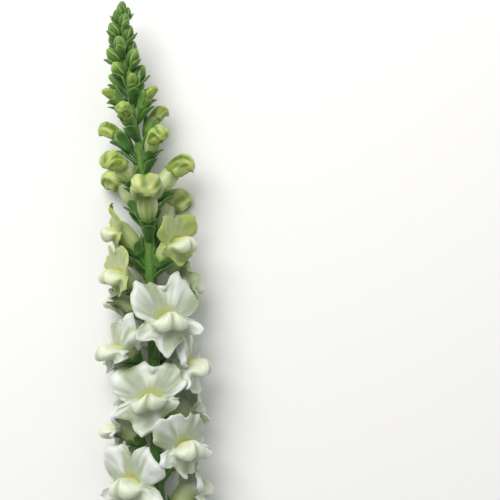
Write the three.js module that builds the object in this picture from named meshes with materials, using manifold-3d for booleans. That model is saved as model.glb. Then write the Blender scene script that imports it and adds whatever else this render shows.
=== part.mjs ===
// Snapdragon stem: one cut spike of a white snapdragon, lying on a level surface.
//
// Millimetres, +Z up. The stem runs along Y: its tip is at +Y and its cut end at -Y.
// The blooms and the cut end rest on z = 0, and the origin is under the middle of the part.
//
// The spike carries 51 flowers in one spiral, counted from the tip. Each one grows from the
// stem with a bract below it, on a short stalk, in a green calyx. The youngest are green buds,
// then come closed corollas, opening ones, and at the bottom the open two-lipped blooms.
// Everything green that grew together is one solid, and each corolla and leaf is its own.

import * as THREE from 'three';
import Module from 'manifold-3d';

const wasm = await Module();
wasm.setup();

// ---------------------------------------------------------------- driving dimensions

// Centre line of the stem from the tip to the cut end. Its height falls to the cut end.
const STEM_PATH = [
  [-13.5, 221.2, 24.5], [-14.3, 206, 24], [-12.5, 196, 23.7], [-9.5, 176, 23.1],
  [-7, 161, 22.7], [-5, 151, 22.5], [-3.5, 138.5, 22.1], [-1.5, 121, 21.7], [-0.5, 106, 21.5],
  [0.5, 86, 21.5], [1.5, 61, 21.5], [2.5, 26, 21.5], [4, -14, 21.1], [6, -50, 19.5], [9, -90, 15.5],
  [11, -130, 10.9], [9, -170, 6.9], [3, -218, 3.4], [1, -226, 3.3],
];
// Point of that line's plan that lies under the middle of the whole part.
const MIDDLE = [9.5, -0.7];
const STEM_RADIUS = [[0, 0.7], [40, 1.3], [80, 2.1], [105, 2.6], [140, 2.95], [280, 3.1], [460, 3.25]];
const STEM_SIDES = 8;
const STEM_STEP = 12;
const STEM_POINT = 0.8;

// The spiral: each flower stands a golden angle on from the one above it.
const FLOWERS = 51;
const GOLDEN_ANGLE = 137.508;
const FRONT_FLOWER = 30;
const FRONT_AZIMUTH = 5;
const TURNED_ASIDE = { 35: -34, 40: -7, 43: 6, 49: 16 };
const FIRST_FLOWER_AT = 3;
const SPACING = [[0, 1.75], [6, 2.5], [16, 2.95], [21, 4.2], [24, 6.4], [30, 7], [38, 7.6], [50, 8.2]];
// Seeded spread, in degrees: round the stem, in the nod of a closed flower and of an open one.
const TURN_VARIATION = 3;
const NOD_VARIATION = 4;
const POSE_VARIATION = 7;

// Stages of opening, by flower number.
const FIRST_COROLLA = 16;
const FIRST_OPENING = 32;
const OPENNESS = [[31, 0], [32, 0.15], [35, 0.3], [36, 0.65], [37, 0.85], [38, 1]];

// Sizes by flower number: green buds, bracts, stalks, calyxes, corollas.
const GREEN_BUD_SIDES = 8;
const BUD_PROFILE = [[0.1, 0.55], [0.4, 1], [0.74, 0.8]];
const BUD_BASE = 0.5;
const BUD_LENGTH = [[0, 6], [4, 7.6], [8, 9], [12, 10], [15, 10.6]];
const BUD_RADIUS = [[0, 2.1], [4, 2.7], [8, 3.1], [12, 3.4], [15, 3.5]];
const BRACT_LENGTH = [[0, 5], [6, 7.4], [16, 9.4], [24, 8.2], [50, 7.6]];
const BRACT_WIDTH = [[0, 3], [6, 4.8], [16, 5.8], [30, 7.2], [50, 7.6]];
const YOUNG_BRACT_PROFILE = [[0, 0.3], [0.55, 1]];
const BRACT_PROFILE = [[0, 0.24], [0.42, 1], [0.8, 0.72]];
const BRACT_THICKNESS = 0.9;
const BRACT_CUP = 0.2;
const BRACT_BELOW = 2.2;
const BRACT_ROOTED = 0.12;
const BRACT_CLEAR = 0.75;
const BRACT_FLARE = [[0, 0.2], [12, 0.8], [20, 1.2], [50, 1.6]];
const BRACT_VARIATION = 0.3;
const STALK_LENGTH = [[0, 0.8], [8, 1.6], [16, 2.6], [28, 4.4], [50, 5.2]];
const STALK_RADIUS = [[0, 0.5], [16, 0.8], [30, 1.05], [50, 1.15]];
const STALK_ANGLE = [[0, 16], [4, 26], [8, 38], [16, 42], [30, 34], [36, 38], [50, 41]];
// Where pieces spring from inside the stem: away from its centre line, and along it.
const STALK_FOOT = [0.2, -0.6];
const STALK_ROOT = [-0.2, -0.8];
const BRACT_FOOT = 0.4;
const STALK_START = 0.6;
const STALK_BEND = 6;
const STALK_SWELL = 1.3;
const CALYX_LENGTH = [[16, 8.8], [20, 11], [24, 11.8], [30, 10.2], [50, 10]];
const CALYX_THICKNESS = 0.7;
const CALYX_LOBES = 5;
const CALYX_NOTCH = 0.5;
const CALYX_VARIATION = 0.12;
const CALYX_TIP_SHARE = 1.5;
const CALYX_NOTCH_SHARE = 0.6;
const CALYX_GAP = 0.42;
const CALYX_BELLY = 0.34;
const CALYX_FLOOR = 0.8;
const COROLLA_START = 1.9;

const CLOSED_SIDES = 8;
const CLOSED_LENGTH = [[16, 11.5], [20, 17], [23, 22], [26, 26.5], [28, 31.5], [30, 38.5], [31, 39]];
const TUBE_RADIUS = [[16, 2.4], [20, 2.9], [24, 3.6], [28, 4.6], [31, 5.1], [50, 5.6]];
const TUBE_BASE = 0.42;
const TUBE_SWELL = 0.62;
const TUBE_SWELL_MOST = 22;
// Outline of a closed corolla: how far along it is, its width and sag as shares of the cap's
// radius, and its slant as a share of LEDGE. Older ones are hooded: the cap hangs over the
// tube's front and ends in a beak.
const CAP_PROFILE = [[0.6, 0, 0, 0], [0.67, 0.97, 0, 1], [0.8, 0.94, 0.05, 0], [0.92, 0.67, 0.24, 0.8]];
const CAP_HOOK = 0.42;
const CAP_DEPTH = 0.3;
const HOOD_FROM = 17;
const HOOD_OVER = 7;
const LEDGE = 0.07;
const CAP_RADIUS = [[16, 2.7], [20, 3.6], [24, 4.8], [28, 6.6], [30, 8.3], [31, 8.6]];
const CLOSED_TIP_ANGLE = [[16, 54], [20, 78], [24, 96], [28, 108], [31, 114]];
const BEND_EXPONENT = 2.6;
const OPEN_TUBE_LENGTH = 19;
const OPEN_TUBE_ANGLE = 46;
const FACE_ANGLE = 86;

// Half the lip outline of an open bloom, from the top notch down the side to the middle lower
// lobe: the direction each line of petal runs in, the petal in the throat, and the free lobe.
const LIP_DIRECTION = [90, 70, 49, 21, -3, -15, -33, -64, -90];
const THROAT_LENGTH = [5.5, 5.5, 5, 4.5, 5, 9.5, 15.5, 20.5, 22];
const LOBE_LENGTH = [15.5, 18.5, 20.5, 16, 8, 11.5, 15, 11, 14];
const UPPER_THROAT_BEND = [[0, 66], [1, 90]];
const UPPER_LOBE_BEND = [[0, 90], [0.55, 96], [1, 150]];
const LOWER_THROAT_BEND = [[0, -12], [0.25, 4], [0.45, 48], [0.66, 100], [0.86, 150], [1, 156]];
const LOWER_LOBE_BEND = [[0, 150], [0.22, 104], [0.5, 80], [0.75, 92], [1, 150]];
const MOUTH_HALF_WIDTH = 5;
const MOUTH_ARCH = 2.6;
const MOUTH_FORWARD = 1.2;
const MOUTH_DROP = 1;
// An opening bloom: how short its throat and lobes are at first, and how far the lobes curl in.
const YOUNG_THROAT = 0.8;
const YOUNG_LOBE = 0.4;
const YOUNG_CURL = 46;
const YOUNG_NOD = 14;
const PETAL_THICKNESS = 0.95;
const UNDERSIDE_SIZE = 0.84;
const THROAT_VARIATION = 0.04;
const LOBE_VARIATION = 0.14;
const CURL_VARIATION = 22;
// Petals that curl back towards the stem slow down and stop this far from its centre line.
const LIP_NEAREST = 5.5;
const LIP_SOFT = 3;
const LIP_COLUMNS = 16;
const LIP_STEPS = 12;
// Rings of an open corolla: along its tube, then out along the lobes' backs and in on the front.
const TUBE_RINGS = [0.55, 0.94];
const BACK_RINGS = [0.5, 0.75];
const FRONT_RINGS = [1, 0.75, 0.5, 0.34, 0.14];

// Leaves below the spike.
const LEAVES = 9;
const FIRST_LEAF_AT = 297;
const LEAF_SPACING = 12.5;
const LEAF_LENGTH = [[0, 27], [3, 44], [8, 58]];
const LEAF_WIDTH = [[0, 7], [3, 10.5], [8, 14]];
const LEAF_THICKNESS = 1;
const LEAF_STATIONS = 10;
const LEAF_LOWEST = 1.6;
const LEAF_SOFT = 2.4;
const LEAF_ANGLE = 50;
const LEAF_SINK_BELOW = 24;
const LEAF_SINK_ABOVE = -34;
const LEAF_SWAY = 0.05;
const LEAF_VARIATION = 8;
const LEAF_FOOT = 0.16;
const LEAF_LEVEL = 0.8;
const LEAF_FOLD = 0.2;
const LEAF_WAVE = 0.07;
const LEAF_WIDEST_AZIMUTH = 98;

// Clearances between separate solids.
const PINCH = 0.02;
const ROOTED = 2.2;
const SEAT_GAP = 0.35;
const NEIGHBOUR_GAP = 0.6;
const UPPER_LEAD = 0.12;
const SQUEEZE_SHARE = 0.6;
const SQUEEZE_STEEPEST = 0.36;
const SEPARATING_ROUNDS = 12;
const NEIGHBOURS = 21;

// ---------------------------------------------------------------- small helpers

const radians = (degrees) => (degrees * Math.PI) / 180;
const mix = (a, b, t) => a + (b - a) * t;
const clamp01 = (t) => Math.min(1, Math.max(0, t));
const smooth = (t) => clamp01(t) * clamp01(t) * (3 - 2 * clamp01(t));
const range = (count) => Array.from({ length: count }, (_, index) => index);

// Value of a list of [position, value] knots at a position, straight between knots.
function at(knots, position) {
  if (position <= knots[0][0]) return knots[0][1];
  for (let i = 1; i < knots.length; i++) {
    const [x1, y1] = knots[i];
    const [x0, y0] = knots[i - 1];
    if (position <= x1) return mix(y0, y1, (position - x0) / (x1 - x0));
  }
  return knots[knots.length - 1][1];
}

// Seeded draw between -1 and 1 that depends only on the two numbers given.
function draw(item, salt) {
  const wave = Math.sin(item * 12.9898 + salt * 78.233 + 4.1) * 43758.5453;
  return 2 * (wave - Math.floor(wave)) - 1;
}

// Closed solid through rings of points. A ring may have twice as many points as the one
// before it. A row of faces in flips has its diagonals turned.
function loft(rings, startPole, endPole, flips = () => false) {
  const points = rings.flat();
  const faces = [];
  let first = 0;
  for (let i = 0; i + 1 < rings.length; i++) {
    const columns = rings[i].length;
    const next = first + columns;
    const ratio = rings[i + 1].length / columns;
    for (let j = 0; j < columns; j++) {
      const a = first + j;
      const b = first + ((j + 1) % columns);
      const c = next + ratio * j;
      const d = next + ratio * ((j + 1) % columns);
      if (ratio === 2) faces.push([a, c + 1, c], [a, b, c + 1], [b, d, c + 1]);
      else if (flips(i, j)) faces.push([a, b, c], [b, d, c]);
      else faces.push([a, b, d], [a, d, c]);
    }
    first = next;
  }
  const start = rings[0].length;
  const end = rings[rings.length - 1].length;
  if (startPole) {
    points.push(startPole);
    for (let j = 0; j < start; j++) faces.push([points.length - 1, (j + 1) % start, j]);
  }
  if (endPole) {
    points.push(endPole);
    for (let j = 0; j < end; j++) faces.push([points.length - 1, first + j, first + ((j + 1) % end)]);
  }
  return { points, faces };
}

// Turns the faces out where the shape was made inside out.
function outward(shape) {
  const cross = new THREE.Vector3();
  let volume = 0;
  for (const [a, b, c] of shape.faces) {
    volume += cross.crossVectors(shape.points[a], shape.points[b]).dot(shape.points[c]);
  }
  if (volume > 0) return shape;
  return { points: shape.points, faces: shape.faces.map(([a, b, c]) => [a, c, b]) };
}

function geometryOf(shape) {
  const geometry = new THREE.BufferGeometry();
  const positions = shape.points.flatMap((p) => [p.x, p.y, p.z]);
  geometry.setAttribute('position', new THREE.Float32BufferAttribute(positions, 3));
  geometry.setIndex(shape.faces.flat());
  geometry.computeVertexNormals();
  return geometry;
}

function manifoldOf(shape) {
  const vertProperties = new Float32Array(shape.points.flatMap((p) => [p.x, p.y, p.z]));
  const triVerts = new Uint32Array(shape.faces.flat());
  return new wasm.Manifold(new wasm.Mesh({ numProp: 3, vertProperties, triVerts }));
}

// The outer skin alone: drops sealed hollows and loose scraps.
function outerSkin({ points, faces }) {
  const owner = range(points.length);
  const find = (i) => {
    while (owner[i] !== i) i = owner[i] = owner[owner[i]];
    return i;
  };
  for (const [a, b, c] of faces) owner[find(a)] = owner[find(b)] = find(c);
  const skins = new Map();
  for (const face of faces) {
    const skin = find(face[0]);
    if (!skins.has(skin)) skins.set(skin, []);
    skins.get(skin).push(face);
  }
  const largest = [...skins.values()].reduce((best, skin) => (skin.length > best.length ? skin : best));
  return { points, faces: largest };
}

// Draws points that lie in one place a little way in among their own neighbours.
function unpinched({ points, faces }) {
  const sharing = new Map();
  points.forEach((p, i) => {
    const key = p.toArray().join();
    sharing.set(key, [...(sharing.get(key) ?? []), i]);
  });
  for (const i of [...sharing.values()].filter((group) => group.length > 1).flat()) {
    const around = faces.filter((face) => face.includes(i)).flat();
    const middle = around.reduce((sum, k) => sum.add(points[k]), new THREE.Vector3());
    const inward = middle.divideScalar(around.length).sub(points[i]);
    points[i] = points[i].clone().add(inward.setLength(PINCH));
  }
  return { points, faces };
}

// One solid from many overlapping ones.
function joined(shapes) {
  const mesh = shapes.map(manifoldOf).reduce((whole, piece) => whole.add(piece)).getMesh();
  const points = range(mesh.vertProperties.length / 3).map(
    (i) => new THREE.Vector3().fromArray(mesh.vertProperties, 3 * i));
  const faces = range(mesh.triVerts.length / 3).map((i) => [...mesh.triVerts.slice(3 * i, 3 * i + 3)]);
  return unpinched(outerSkin({ points, faces }));
}

// ---------------------------------------------------------------- the stem's centre line

const stemCurve = new THREE.CatmullRomCurve3(
  STEM_PATH.map(([x, y, z]) => new THREE.Vector3(x - MIDDLE[0], y - MIDDLE[1], z)), false, 'centripetal');
const STEM_LENGTH = stemCurve.getLength();

// Frame at a length from the tip, facing the given way round the stem. Azimuth 0 is up.
function stemFrame(length, azimuth) {
  const u = clamp01(length / STEM_LENGTH);
  const along = stemCurve.getTangentAt(u).negate();
  const right = new THREE.Vector3().crossVectors(along, new THREE.Vector3(0, 0, 1)).normalize();
  const up = new THREE.Vector3().crossVectors(right, along).normalize();
  const turn = radians(azimuth);
  const out = up.multiplyScalar(Math.cos(turn)).addScaledVector(right, Math.sin(turn));
  const side = new THREE.Vector3().crossVectors(along, out);
  return { origin: stemCurve.getPointAt(u), along, out, side };
}

// Point of a frame: across, away from the stem, and along it towards the tip.
function place(frame, across, away, along) {
  return frame.origin.clone()
    .addScaledVector(frame.side, across)
    .addScaledVector(frame.out, away)
    .addScaledVector(frame.along, along);
}

function stemSolid() {
  const count = Math.round(STEM_LENGTH / STEM_STEP);
  const rings = range(count + 1).map((i) => {
    const length = mix(STEM_POINT, STEM_LENGTH, i / count);
    const radius = at(STEM_RADIUS, length);
    return range(STEM_SIDES).map((j) => place(stemFrame(length, (360 * j) / STEM_SIDES), 0, radius, 0));
  });
  return outward(loft(rings, stemFrame(0, 0).origin, stemFrame(STEM_LENGTH, 0).origin));
}

// ---------------------------------------------------------------- one flower's middle line

// Distance from the tip at which each flower leaves the stem.
const FLOWER_AT = [FIRST_FLOWER_AT];
for (let n = 1; n < FLOWERS; n++) FLOWER_AT.push(FLOWER_AT[n - 1] + at(SPACING, n - 0.5));

// The middle line of a flower in its own plane, as [away, along, angle from the stem].
function middleLine(flower, length) {
  const { start, startAngle, endAngle, fullLength } = flower;
  const steps = 24;
  let [away, along] = start;
  let angle = startAngle;
  for (let i = 0; i < steps; i++) {
    const t = clamp01(((i + 0.5) * length) / steps / fullLength);
    angle = radians(mix(startAngle, endAngle, Math.pow(t, BEND_EXPONENT)));
    away += (Math.sin(angle) * length) / steps;
    along += (Math.cos(angle) * length) / steps;
  }
  const end = radians(mix(startAngle, endAngle, Math.pow(clamp01(length / fullLength), BEND_EXPONENT)));
  return [away, along, end];
}

// Point at a distance across and up from the middle line.
function section(flower, length, across, up) {
  const [away, along, angle] = middleLine(flower, length);
  return place(flower.frame, across, away - Math.cos(angle) * up, along + Math.sin(angle) * up);
}

// Point round the middle line. Turn 0 is the flower's right side and 90 degrees its top.
function round(flower, length, radiusAcross, radiusUp, turn) {
  return section(flower, length, radiusAcross * Math.cos(turn), radiusUp * Math.sin(turn));
}

function describeFlower(n) {
  const azimuth = FRONT_AZIMUTH + GOLDEN_ANGLE * (n - FRONT_FLOWER) + (TURNED_ASIDE[n] ?? 0);
  const stalkAngle = at(STALK_ANGLE, n);
  const reach = at(STEM_RADIUS, FLOWER_AT[n]) * STALK_START + at(STALK_LENGTH, n);
  const start = [
    reach * Math.sin(radians(stalkAngle)) + STALK_START, reach * Math.cos(radians(stalkAngle))];
  const opened = n >= FIRST_OPENING;
  const openness = at(OPENNESS, n);
  const tilt = (opened ? POSE_VARIATION : NOD_VARIATION) * draw(n, 1);
  return {
    n,
    frame: stemFrame(FLOWER_AT[n], azimuth + TURN_VARIATION * draw(n, 2)),
    stalkAngle,
    start,
    startAngle: stalkAngle - STALK_BEND,
    endAngle: opened ? OPEN_TUBE_ANGLE : at(CLOSED_TIP_ANGLE, n) + tilt,
    fullLength: opened ? OPEN_TUBE_LENGTH : at(CLOSED_LENGTH, n),
    faceAngle: FACE_ANGLE + tilt + YOUNG_NOD * (1 - openness),
    openness,
    squeezes: [],
  };
}

// ---------------------------------------------------------------- green pieces of a flower

// Ring of the stalk, which starts inside the stem whatever its neighbours do to the flower.
function stalkRing(flower, columns, radius) {
  const root = place(flower.frame, 0, ...STALK_FOOT);
  const end = round(flower, 0, 0, 0, 0);
  const direction = end.clone().sub(root).normalize();
  const up = new THREE.Vector3().crossVectors(flower.frame.side, direction).normalize().negate();
  return range(columns).map((j) => {
    const turn = (2 * Math.PI * j) / columns + Math.PI / 2;
    return root.clone()
      .addScaledVector(flower.frame.side, radius * Math.cos(turn))
      .addScaledVector(up, radius * Math.sin(turn));
  });
}

// Young bud on its stalk, still closed and green.
function greenBud(flower) {
  const length = at(BUD_LENGTH, flower.n);
  const radius = at(BUD_RADIUS, flower.n);
  const rings = BUD_PROFILE.map(([t, r]) => range(GREEN_BUD_SIDES).map((j) => round(
    flower, t * length, r * radius, r * radius, (2 * Math.PI * j) / GREEN_BUD_SIDES + Math.PI / 2)));
  const root = place(flower.frame, 0, ...STALK_ROOT);
  return outward(loft([stalkRing(flower, GREEN_BUD_SIDES / 2, at(STALK_RADIUS, flower.n)), ...rings],
    root, round(flower, length, 0, 0, 0)));
}

// Radius of the green body that a bract lies against, out to the corners of its facets.
function bodyRadius(flower, length) {
  if (flower.n >= FIRST_COROLLA) {
    return (tubeRadius(flower, length) + CALYX_GAP + CALYX_THICKNESS) * 1.08;
  }
  const widestAt = BUD_PROFILE[1][0] * at(BUD_LENGTH, flower.n);
  return at(BUD_RADIUS, flower.n) * mix(BUD_BASE, 1, smooth(length / widestAt));
}

// Pointed oval blade below the flower, cupped towards it.
function bract(flower) {
  const { n, frame } = flower;
  const length = at(BRACT_LENGTH, n);
  const width = at(BRACT_WIDTH, n);
  const flare = at(BRACT_FLARE, n) * (1 + BRACT_VARIATION * draw(n, 5));
  const profile = n < FIRST_COROLLA ? YOUNG_BRACT_PROFILE : BRACT_PROFILE;
  const station = (t) => {
    const along = (t - BRACT_ROOTED) * length;
    const [awayOfLine, alongOfLine, angle] = middleLine(flower, Math.max(0, along));
    const offset = bodyRadius(flower, Math.max(0, along)) + BRACT_CLEAR + flare * t * t;
    const away = awayOfLine + Math.cos(angle) * offset;
    return [away, alongOfLine - Math.sin(angle) * offset, angle];
  };
  const rings = profile.map(([t, w]) => {
    const cup = BRACT_CUP * width * w;
    const half = BRACT_THICKNESS / 2;
    const [away, along, angle] = t > 0 ? station(t) : [BRACT_FOOT, -BRACT_BELOW, Math.PI / 2];
    const point = (across, lift) => place(frame, across,
      away - Math.cos(angle) * lift, along + Math.sin(angle) * lift);
    return [point(0.5 * width * w, cup), point(0, half), point(-0.5 * width * w, cup), point(0, -half)];
  });
  const [away, along] = station(1);
  const root = place(frame, 0, STALK_ROOT[0], -BRACT_BELOW);
  return outward(loft(rings, root, place(frame, 0, away, along), (i, j) => j >= 2));
}

// Radius of a corolla's tube at a length from the calyx floor.
function tubeRadius(flower, length) {
  const wide = at(TUBE_RADIUS, flower.n);
  const swollenAt = TUBE_SWELL * Math.min(flower.fullLength, TUBE_SWELL_MOST);
  return wide * mix(TUBE_BASE, 1, smooth(length / swollenAt));
}

// Length at which the base of a corolla and the hollow of its calyx reach the tube's side.
function bellyAt(flower) {
  return CALYX_BELLY * at(CALYX_LENGTH, flower.n);
}

// Calyx on its stalk: a cup with five lobes that clasp the tube. Its hollow is open at the rim.
function calyx(flower) {
  const length = at(CALYX_LENGTH, flower.n);
  const columns = 2 * CALYX_LOBES;
  const facet = 1 / Math.cos(Math.PI / columns);
  const belly = bellyAt(flower);
  const ring = (offset, lengthOf) => range(columns).map((j) => {
    const t = lengthOf(j);
    const radius = (tubeRadius(flower, t) + offset(j)) * facet;
    return round(flower, t, radius, radius, (2 * Math.PI * j) / columns + Math.PI / 2);
  });
  const isTip = (j) => j % 2 === 0;
  const rimAt = (j) => length * (isTip(j) ? 1 + CALYX_VARIATION * draw(flower.n, 20 + j) : CALYX_NOTCH);
  const stalkRadius = at(STALK_RADIUS, flower.n);
  const swollen = stalkRadius * STALK_SWELL;
  const top = range(CALYX_LOBES).map((j) => round(
    flower, 0, swollen, swollen, (2 * Math.PI * j) / CALYX_LOBES + Math.PI / 2));
  const outer = ring(() => CALYX_GAP + CALYX_THICKNESS, () => belly);
  const thickAt = (j) => CALYX_THICKNESS * (isTip(j) ? CALYX_TIP_SHARE : CALYX_NOTCH_SHARE);
  const rim = ring((j) => CALYX_GAP + thickAt(j), rimAt);
  const inner = ring(() => CALYX_GAP, () => belly);
  const root = place(flower.frame, 0, ...STALK_ROOT);
  return outward(loft([stalkRing(flower, CALYX_LOBES, stalkRadius), top, outer, rim, inner],
    root, round(flower, CALYX_FLOOR, 0, 0, 0), (i) => i === 3));
}

// ---------------------------------------------------------------- corollas

// Closed corolla: a tube under a cap that nods over it and is broader than it is deep.
function closedCorolla(flower) {
  const { n, fullLength } = flower;
  const tube = at(TUBE_RADIUS, n);
  const cap = at(CAP_RADIUS, n);
  const flatness = mix(tube, cap, CAP_DEPTH) / cap;
  const hooded = smooth((n - HOOD_FROM) / HOOD_OVER);
  const profile = [[bellyAt(flower) / fullLength, 0, 0, 0], ...CAP_PROFILE];
  const rings = profile.map(([t, capped, sag, slant]) => range(CLOSED_SIDES).map((j) => {
    const turn = (2 * Math.PI * j) / CLOSED_SIDES;
    const length = (t - slant * LEDGE * hooded * Math.sin(turn)) * fullLength;
    const wide = capped > 0 ? cap * capped : tubeRadius(flower, length);
    const up = wide * (capped > 0 ? flatness : 1) * Math.sin(turn) - sag * hooded * cap;
    return section(flower, length, wide * Math.cos(turn), up);
  }));
  const start = round(flower, COROLLA_START, 0, 0, 0);
  return outward(loft(rings, start, section(flower, fullLength, 0, -CAP_HOOK * hooded * cap)));
}

// Place of a column in the half outline. Column 0 is at the right corner of the mouth.
function placeInHalf(j) {
  const half = LIP_COLUMNS / 2;
  return half - Math.abs(((j + 3 * (half / 2)) % LIP_COLUMNS) - half);
}

// Full round of lip values from the half outline.
function roundLip(half, flower, salt, amount) {
  return range(LIP_COLUMNS).map((j) => half[placeInHalf(j)] * (1 + amount * draw(flower.n, salt + j)));
}

// Rings of an opened corolla's lips: lip(v) runs from the mouth, v = 0, to the margin, v = 1.
function lipSurface(flower) {
  const [away, along] = middleLine(flower, flower.fullLength);
  const face = radians(flower.faceAngle);
  const open = flower.openness;
  const size = mix(UNDERSIDE_SIZE, 1, smooth(0.5 + flower.frame.out.z));
  const throat = roundLip(THROAT_LENGTH, flower, 30, THROAT_VARIATION).map(
    (length) => length * size * mix(YOUNG_THROAT, 1, open));
  const lobe = roundLip(LOBE_LENGTH, flower, 50, LOBE_VARIATION).map(
    (length) => length * size * mix(YOUNG_LOBE, 1, open));
  const bend = (curve, low, high, w) => mix(at(low, w), at(high, w), curve);
  const columns = range(LIP_COLUMNS).map((j) => {
    const turn = (2 * Math.PI * j) / LIP_COLUMNS;
    const right = j <= LIP_COLUMNS / 4 || j >= (3 * LIP_COLUMNS) / 4;
    const tilt = radians(LIP_DIRECTION[placeInHalf(j)]);
    const upper = smooth(0.5 + Math.sin(turn) * 1.4);
    const curl = CURL_VARIATION * draw(flower.n, 70 + j) - YOUNG_CURL * (1 - open);
    let across = MOUTH_HALF_WIDTH * Math.cos(turn);
    let up = MOUTH_ARCH * (1 - Math.cos(turn) ** 2) - MOUTH_DROP;
    let forward = MOUTH_FORWARD;
    const path = [[across, up, forward, 0]];
    for (let k = 0; k < 2 * LIP_STEPS; k++) {
      const inThroat = k < LIP_STEPS;
      const w = ((k % LIP_STEPS) + 0.5) / LIP_STEPS;
      const low = inThroat ? LOWER_THROAT_BEND : LOWER_LOBE_BEND;
      const high = inThroat ? UPPER_THROAT_BEND : UPPER_LOBE_BEND;
      const alpha = radians(bend(upper, low, high, w) + (inThroat ? 0 : curl * w * mix(0.5, 1, upper)));
      const stride = (inThroat ? throat[j] : lobe[j]) / LIP_STEPS;
      across += stride * Math.sin(alpha) * Math.cos(tilt) * (right ? 1 : -1);
      up += stride * Math.sin(alpha) * Math.sin(tilt);
      forward += stride * Math.cos(alpha);
      path.push([across, up, forward, alpha]);
    }
    return { path, tilt, right };
  });
  return (j, v, back) => {
    const { path, tilt, right } = columns[j];
    const k = Math.min(2 * LIP_STEPS - 1, Math.floor(v * 2 * LIP_STEPS));
    const t = v * 2 * LIP_STEPS - k;
    const [across, up, forward] = [0, 1, 2].map((axis) => mix(path[k][axis], path[k + 1][axis], t));
    const alpha = path[Math.max(1, Math.round(v * 2 * LIP_STEPS))][3];
    const outwards = Math.cos(alpha) * back;
    const x = across + outwards * Math.cos(tilt) * (right ? 1 : -1);
    const y = up + outwards * Math.sin(tilt);
    const z = forward - Math.sin(alpha) * back;
    let out = away + z * Math.sin(face) - y * Math.cos(face);
    const near = LIP_NEAREST + LIP_SOFT;
    if (out < near) out = LIP_NEAREST + LIP_SOFT * Math.exp((out - near) / LIP_SOFT);
    return place(flower.frame, x, out, along + z * Math.cos(face) + y * Math.sin(face));
  };
}

// Opened corolla: the tube, two erect upper lobes, the palate that closes the throat, and
// three lower lobes. The front and back of the lobes are split into triangles alike.
function openCorolla(flower) {
  const lip = lipSurface(flower);
  const columns = range(LIP_COLUMNS);
  const tubeRing = (t) => columns.map((j) => {
    const radius = tubeRadius(flower, t * flower.fullLength);
    return round(flower, t * flower.fullLength, radius, radius, (2 * Math.PI * j) / LIP_COLUMNS);
  });
  const lipRing = (v, back) => columns.map((j) => lip(j, v, back));
  const rings = [
    ...[bellyAt(flower) / flower.fullLength, ...TUBE_RINGS].map(tubeRing),
    ...BACK_RINGS.map((v) => lipRing(v, PETAL_THICKNESS)),
    ...FRONT_RINGS.map((v) => lipRing(v, 0)),
  ];
  const shape = loft(rings, round(flower, COROLLA_START, 0, 0, 0), null, (i) => i >= 2 && i <= 4);
  // The last ring closes on the line of the mouth, where the upper and lower lips meet.
  const last = shape.points.length;
  const inner = (rings.length - 1) * LIP_COLUMNS;
  shape.points.push(...range(LIP_COLUMNS / 2 + 1).map((j) => lip(j, 0, 0)));
  const mouth = (j) => last + Math.min(j, LIP_COLUMNS - j);
  for (const j of columns) {
    const next = (j + 1) % LIP_COLUMNS;
    shape.faces.push([inner + j, inner + next, mouth(next)]);
    shape.faces.push([inner + j, mouth(next), mouth(j)]);
  }
  return outward(shape);
}

// ---------------------------------------------------------------- leaves

// Way round the stem that a leaf points. The ones below are pressed out to the sides.
function leafAzimuth(index) {
  const free = FRONT_AZIMUTH + GOLDEN_ANGLE * (index + FLOWERS - FRONT_FLOWER);
  const wrapped = ((((free + 180) % 360) + 360) % 360) - 180;
  return Math.sign(wrapped) * Math.min(Math.abs(wrapped), LEAF_WIDEST_AZIMUTH - 8 * (index % 2));
}

// Points along a leaf's midrib. It sinks with its weight but stays off the surface.
function leafMidrib(index, frame, length) {
  const stemAt = FIRST_LEAF_AT + LEAF_SPACING * index;
  const sink = mix(LEAF_SINK_BELOW, LEAF_SINK_ABOVE, smooth(frame.out.z)) + LEAF_VARIATION * draw(index, 91);
  const sway = length * LEAF_SWAY;
  let away = at(STEM_RADIUS, stemAt) + SEAT_GAP;
  let along = 0;
  const midrib = [];
  for (let i = 0; i <= LEAF_STATIONS; i++) {
    const t = i / LEAF_STATIONS;
    const angle = radians(LEAF_ANGLE + 6 * draw(index, 93) + sink * t);
    const centre = place(frame, sway * Math.sin(3.4 * t + index) * t, away, along);
    const floor = LEAF_LOWEST + LEAF_SOFT;
    if (centre.z < floor) centre.z = LEAF_LOWEST + LEAF_SOFT * Math.exp((centre.z - floor) / LEAF_SOFT);
    midrib.push(centre);
    away += (Math.sin(angle) * length) / LEAF_STATIONS;
    along += (Math.cos(angle) * length) / LEAF_STATIONS;
  }
  return midrib;
}

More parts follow.
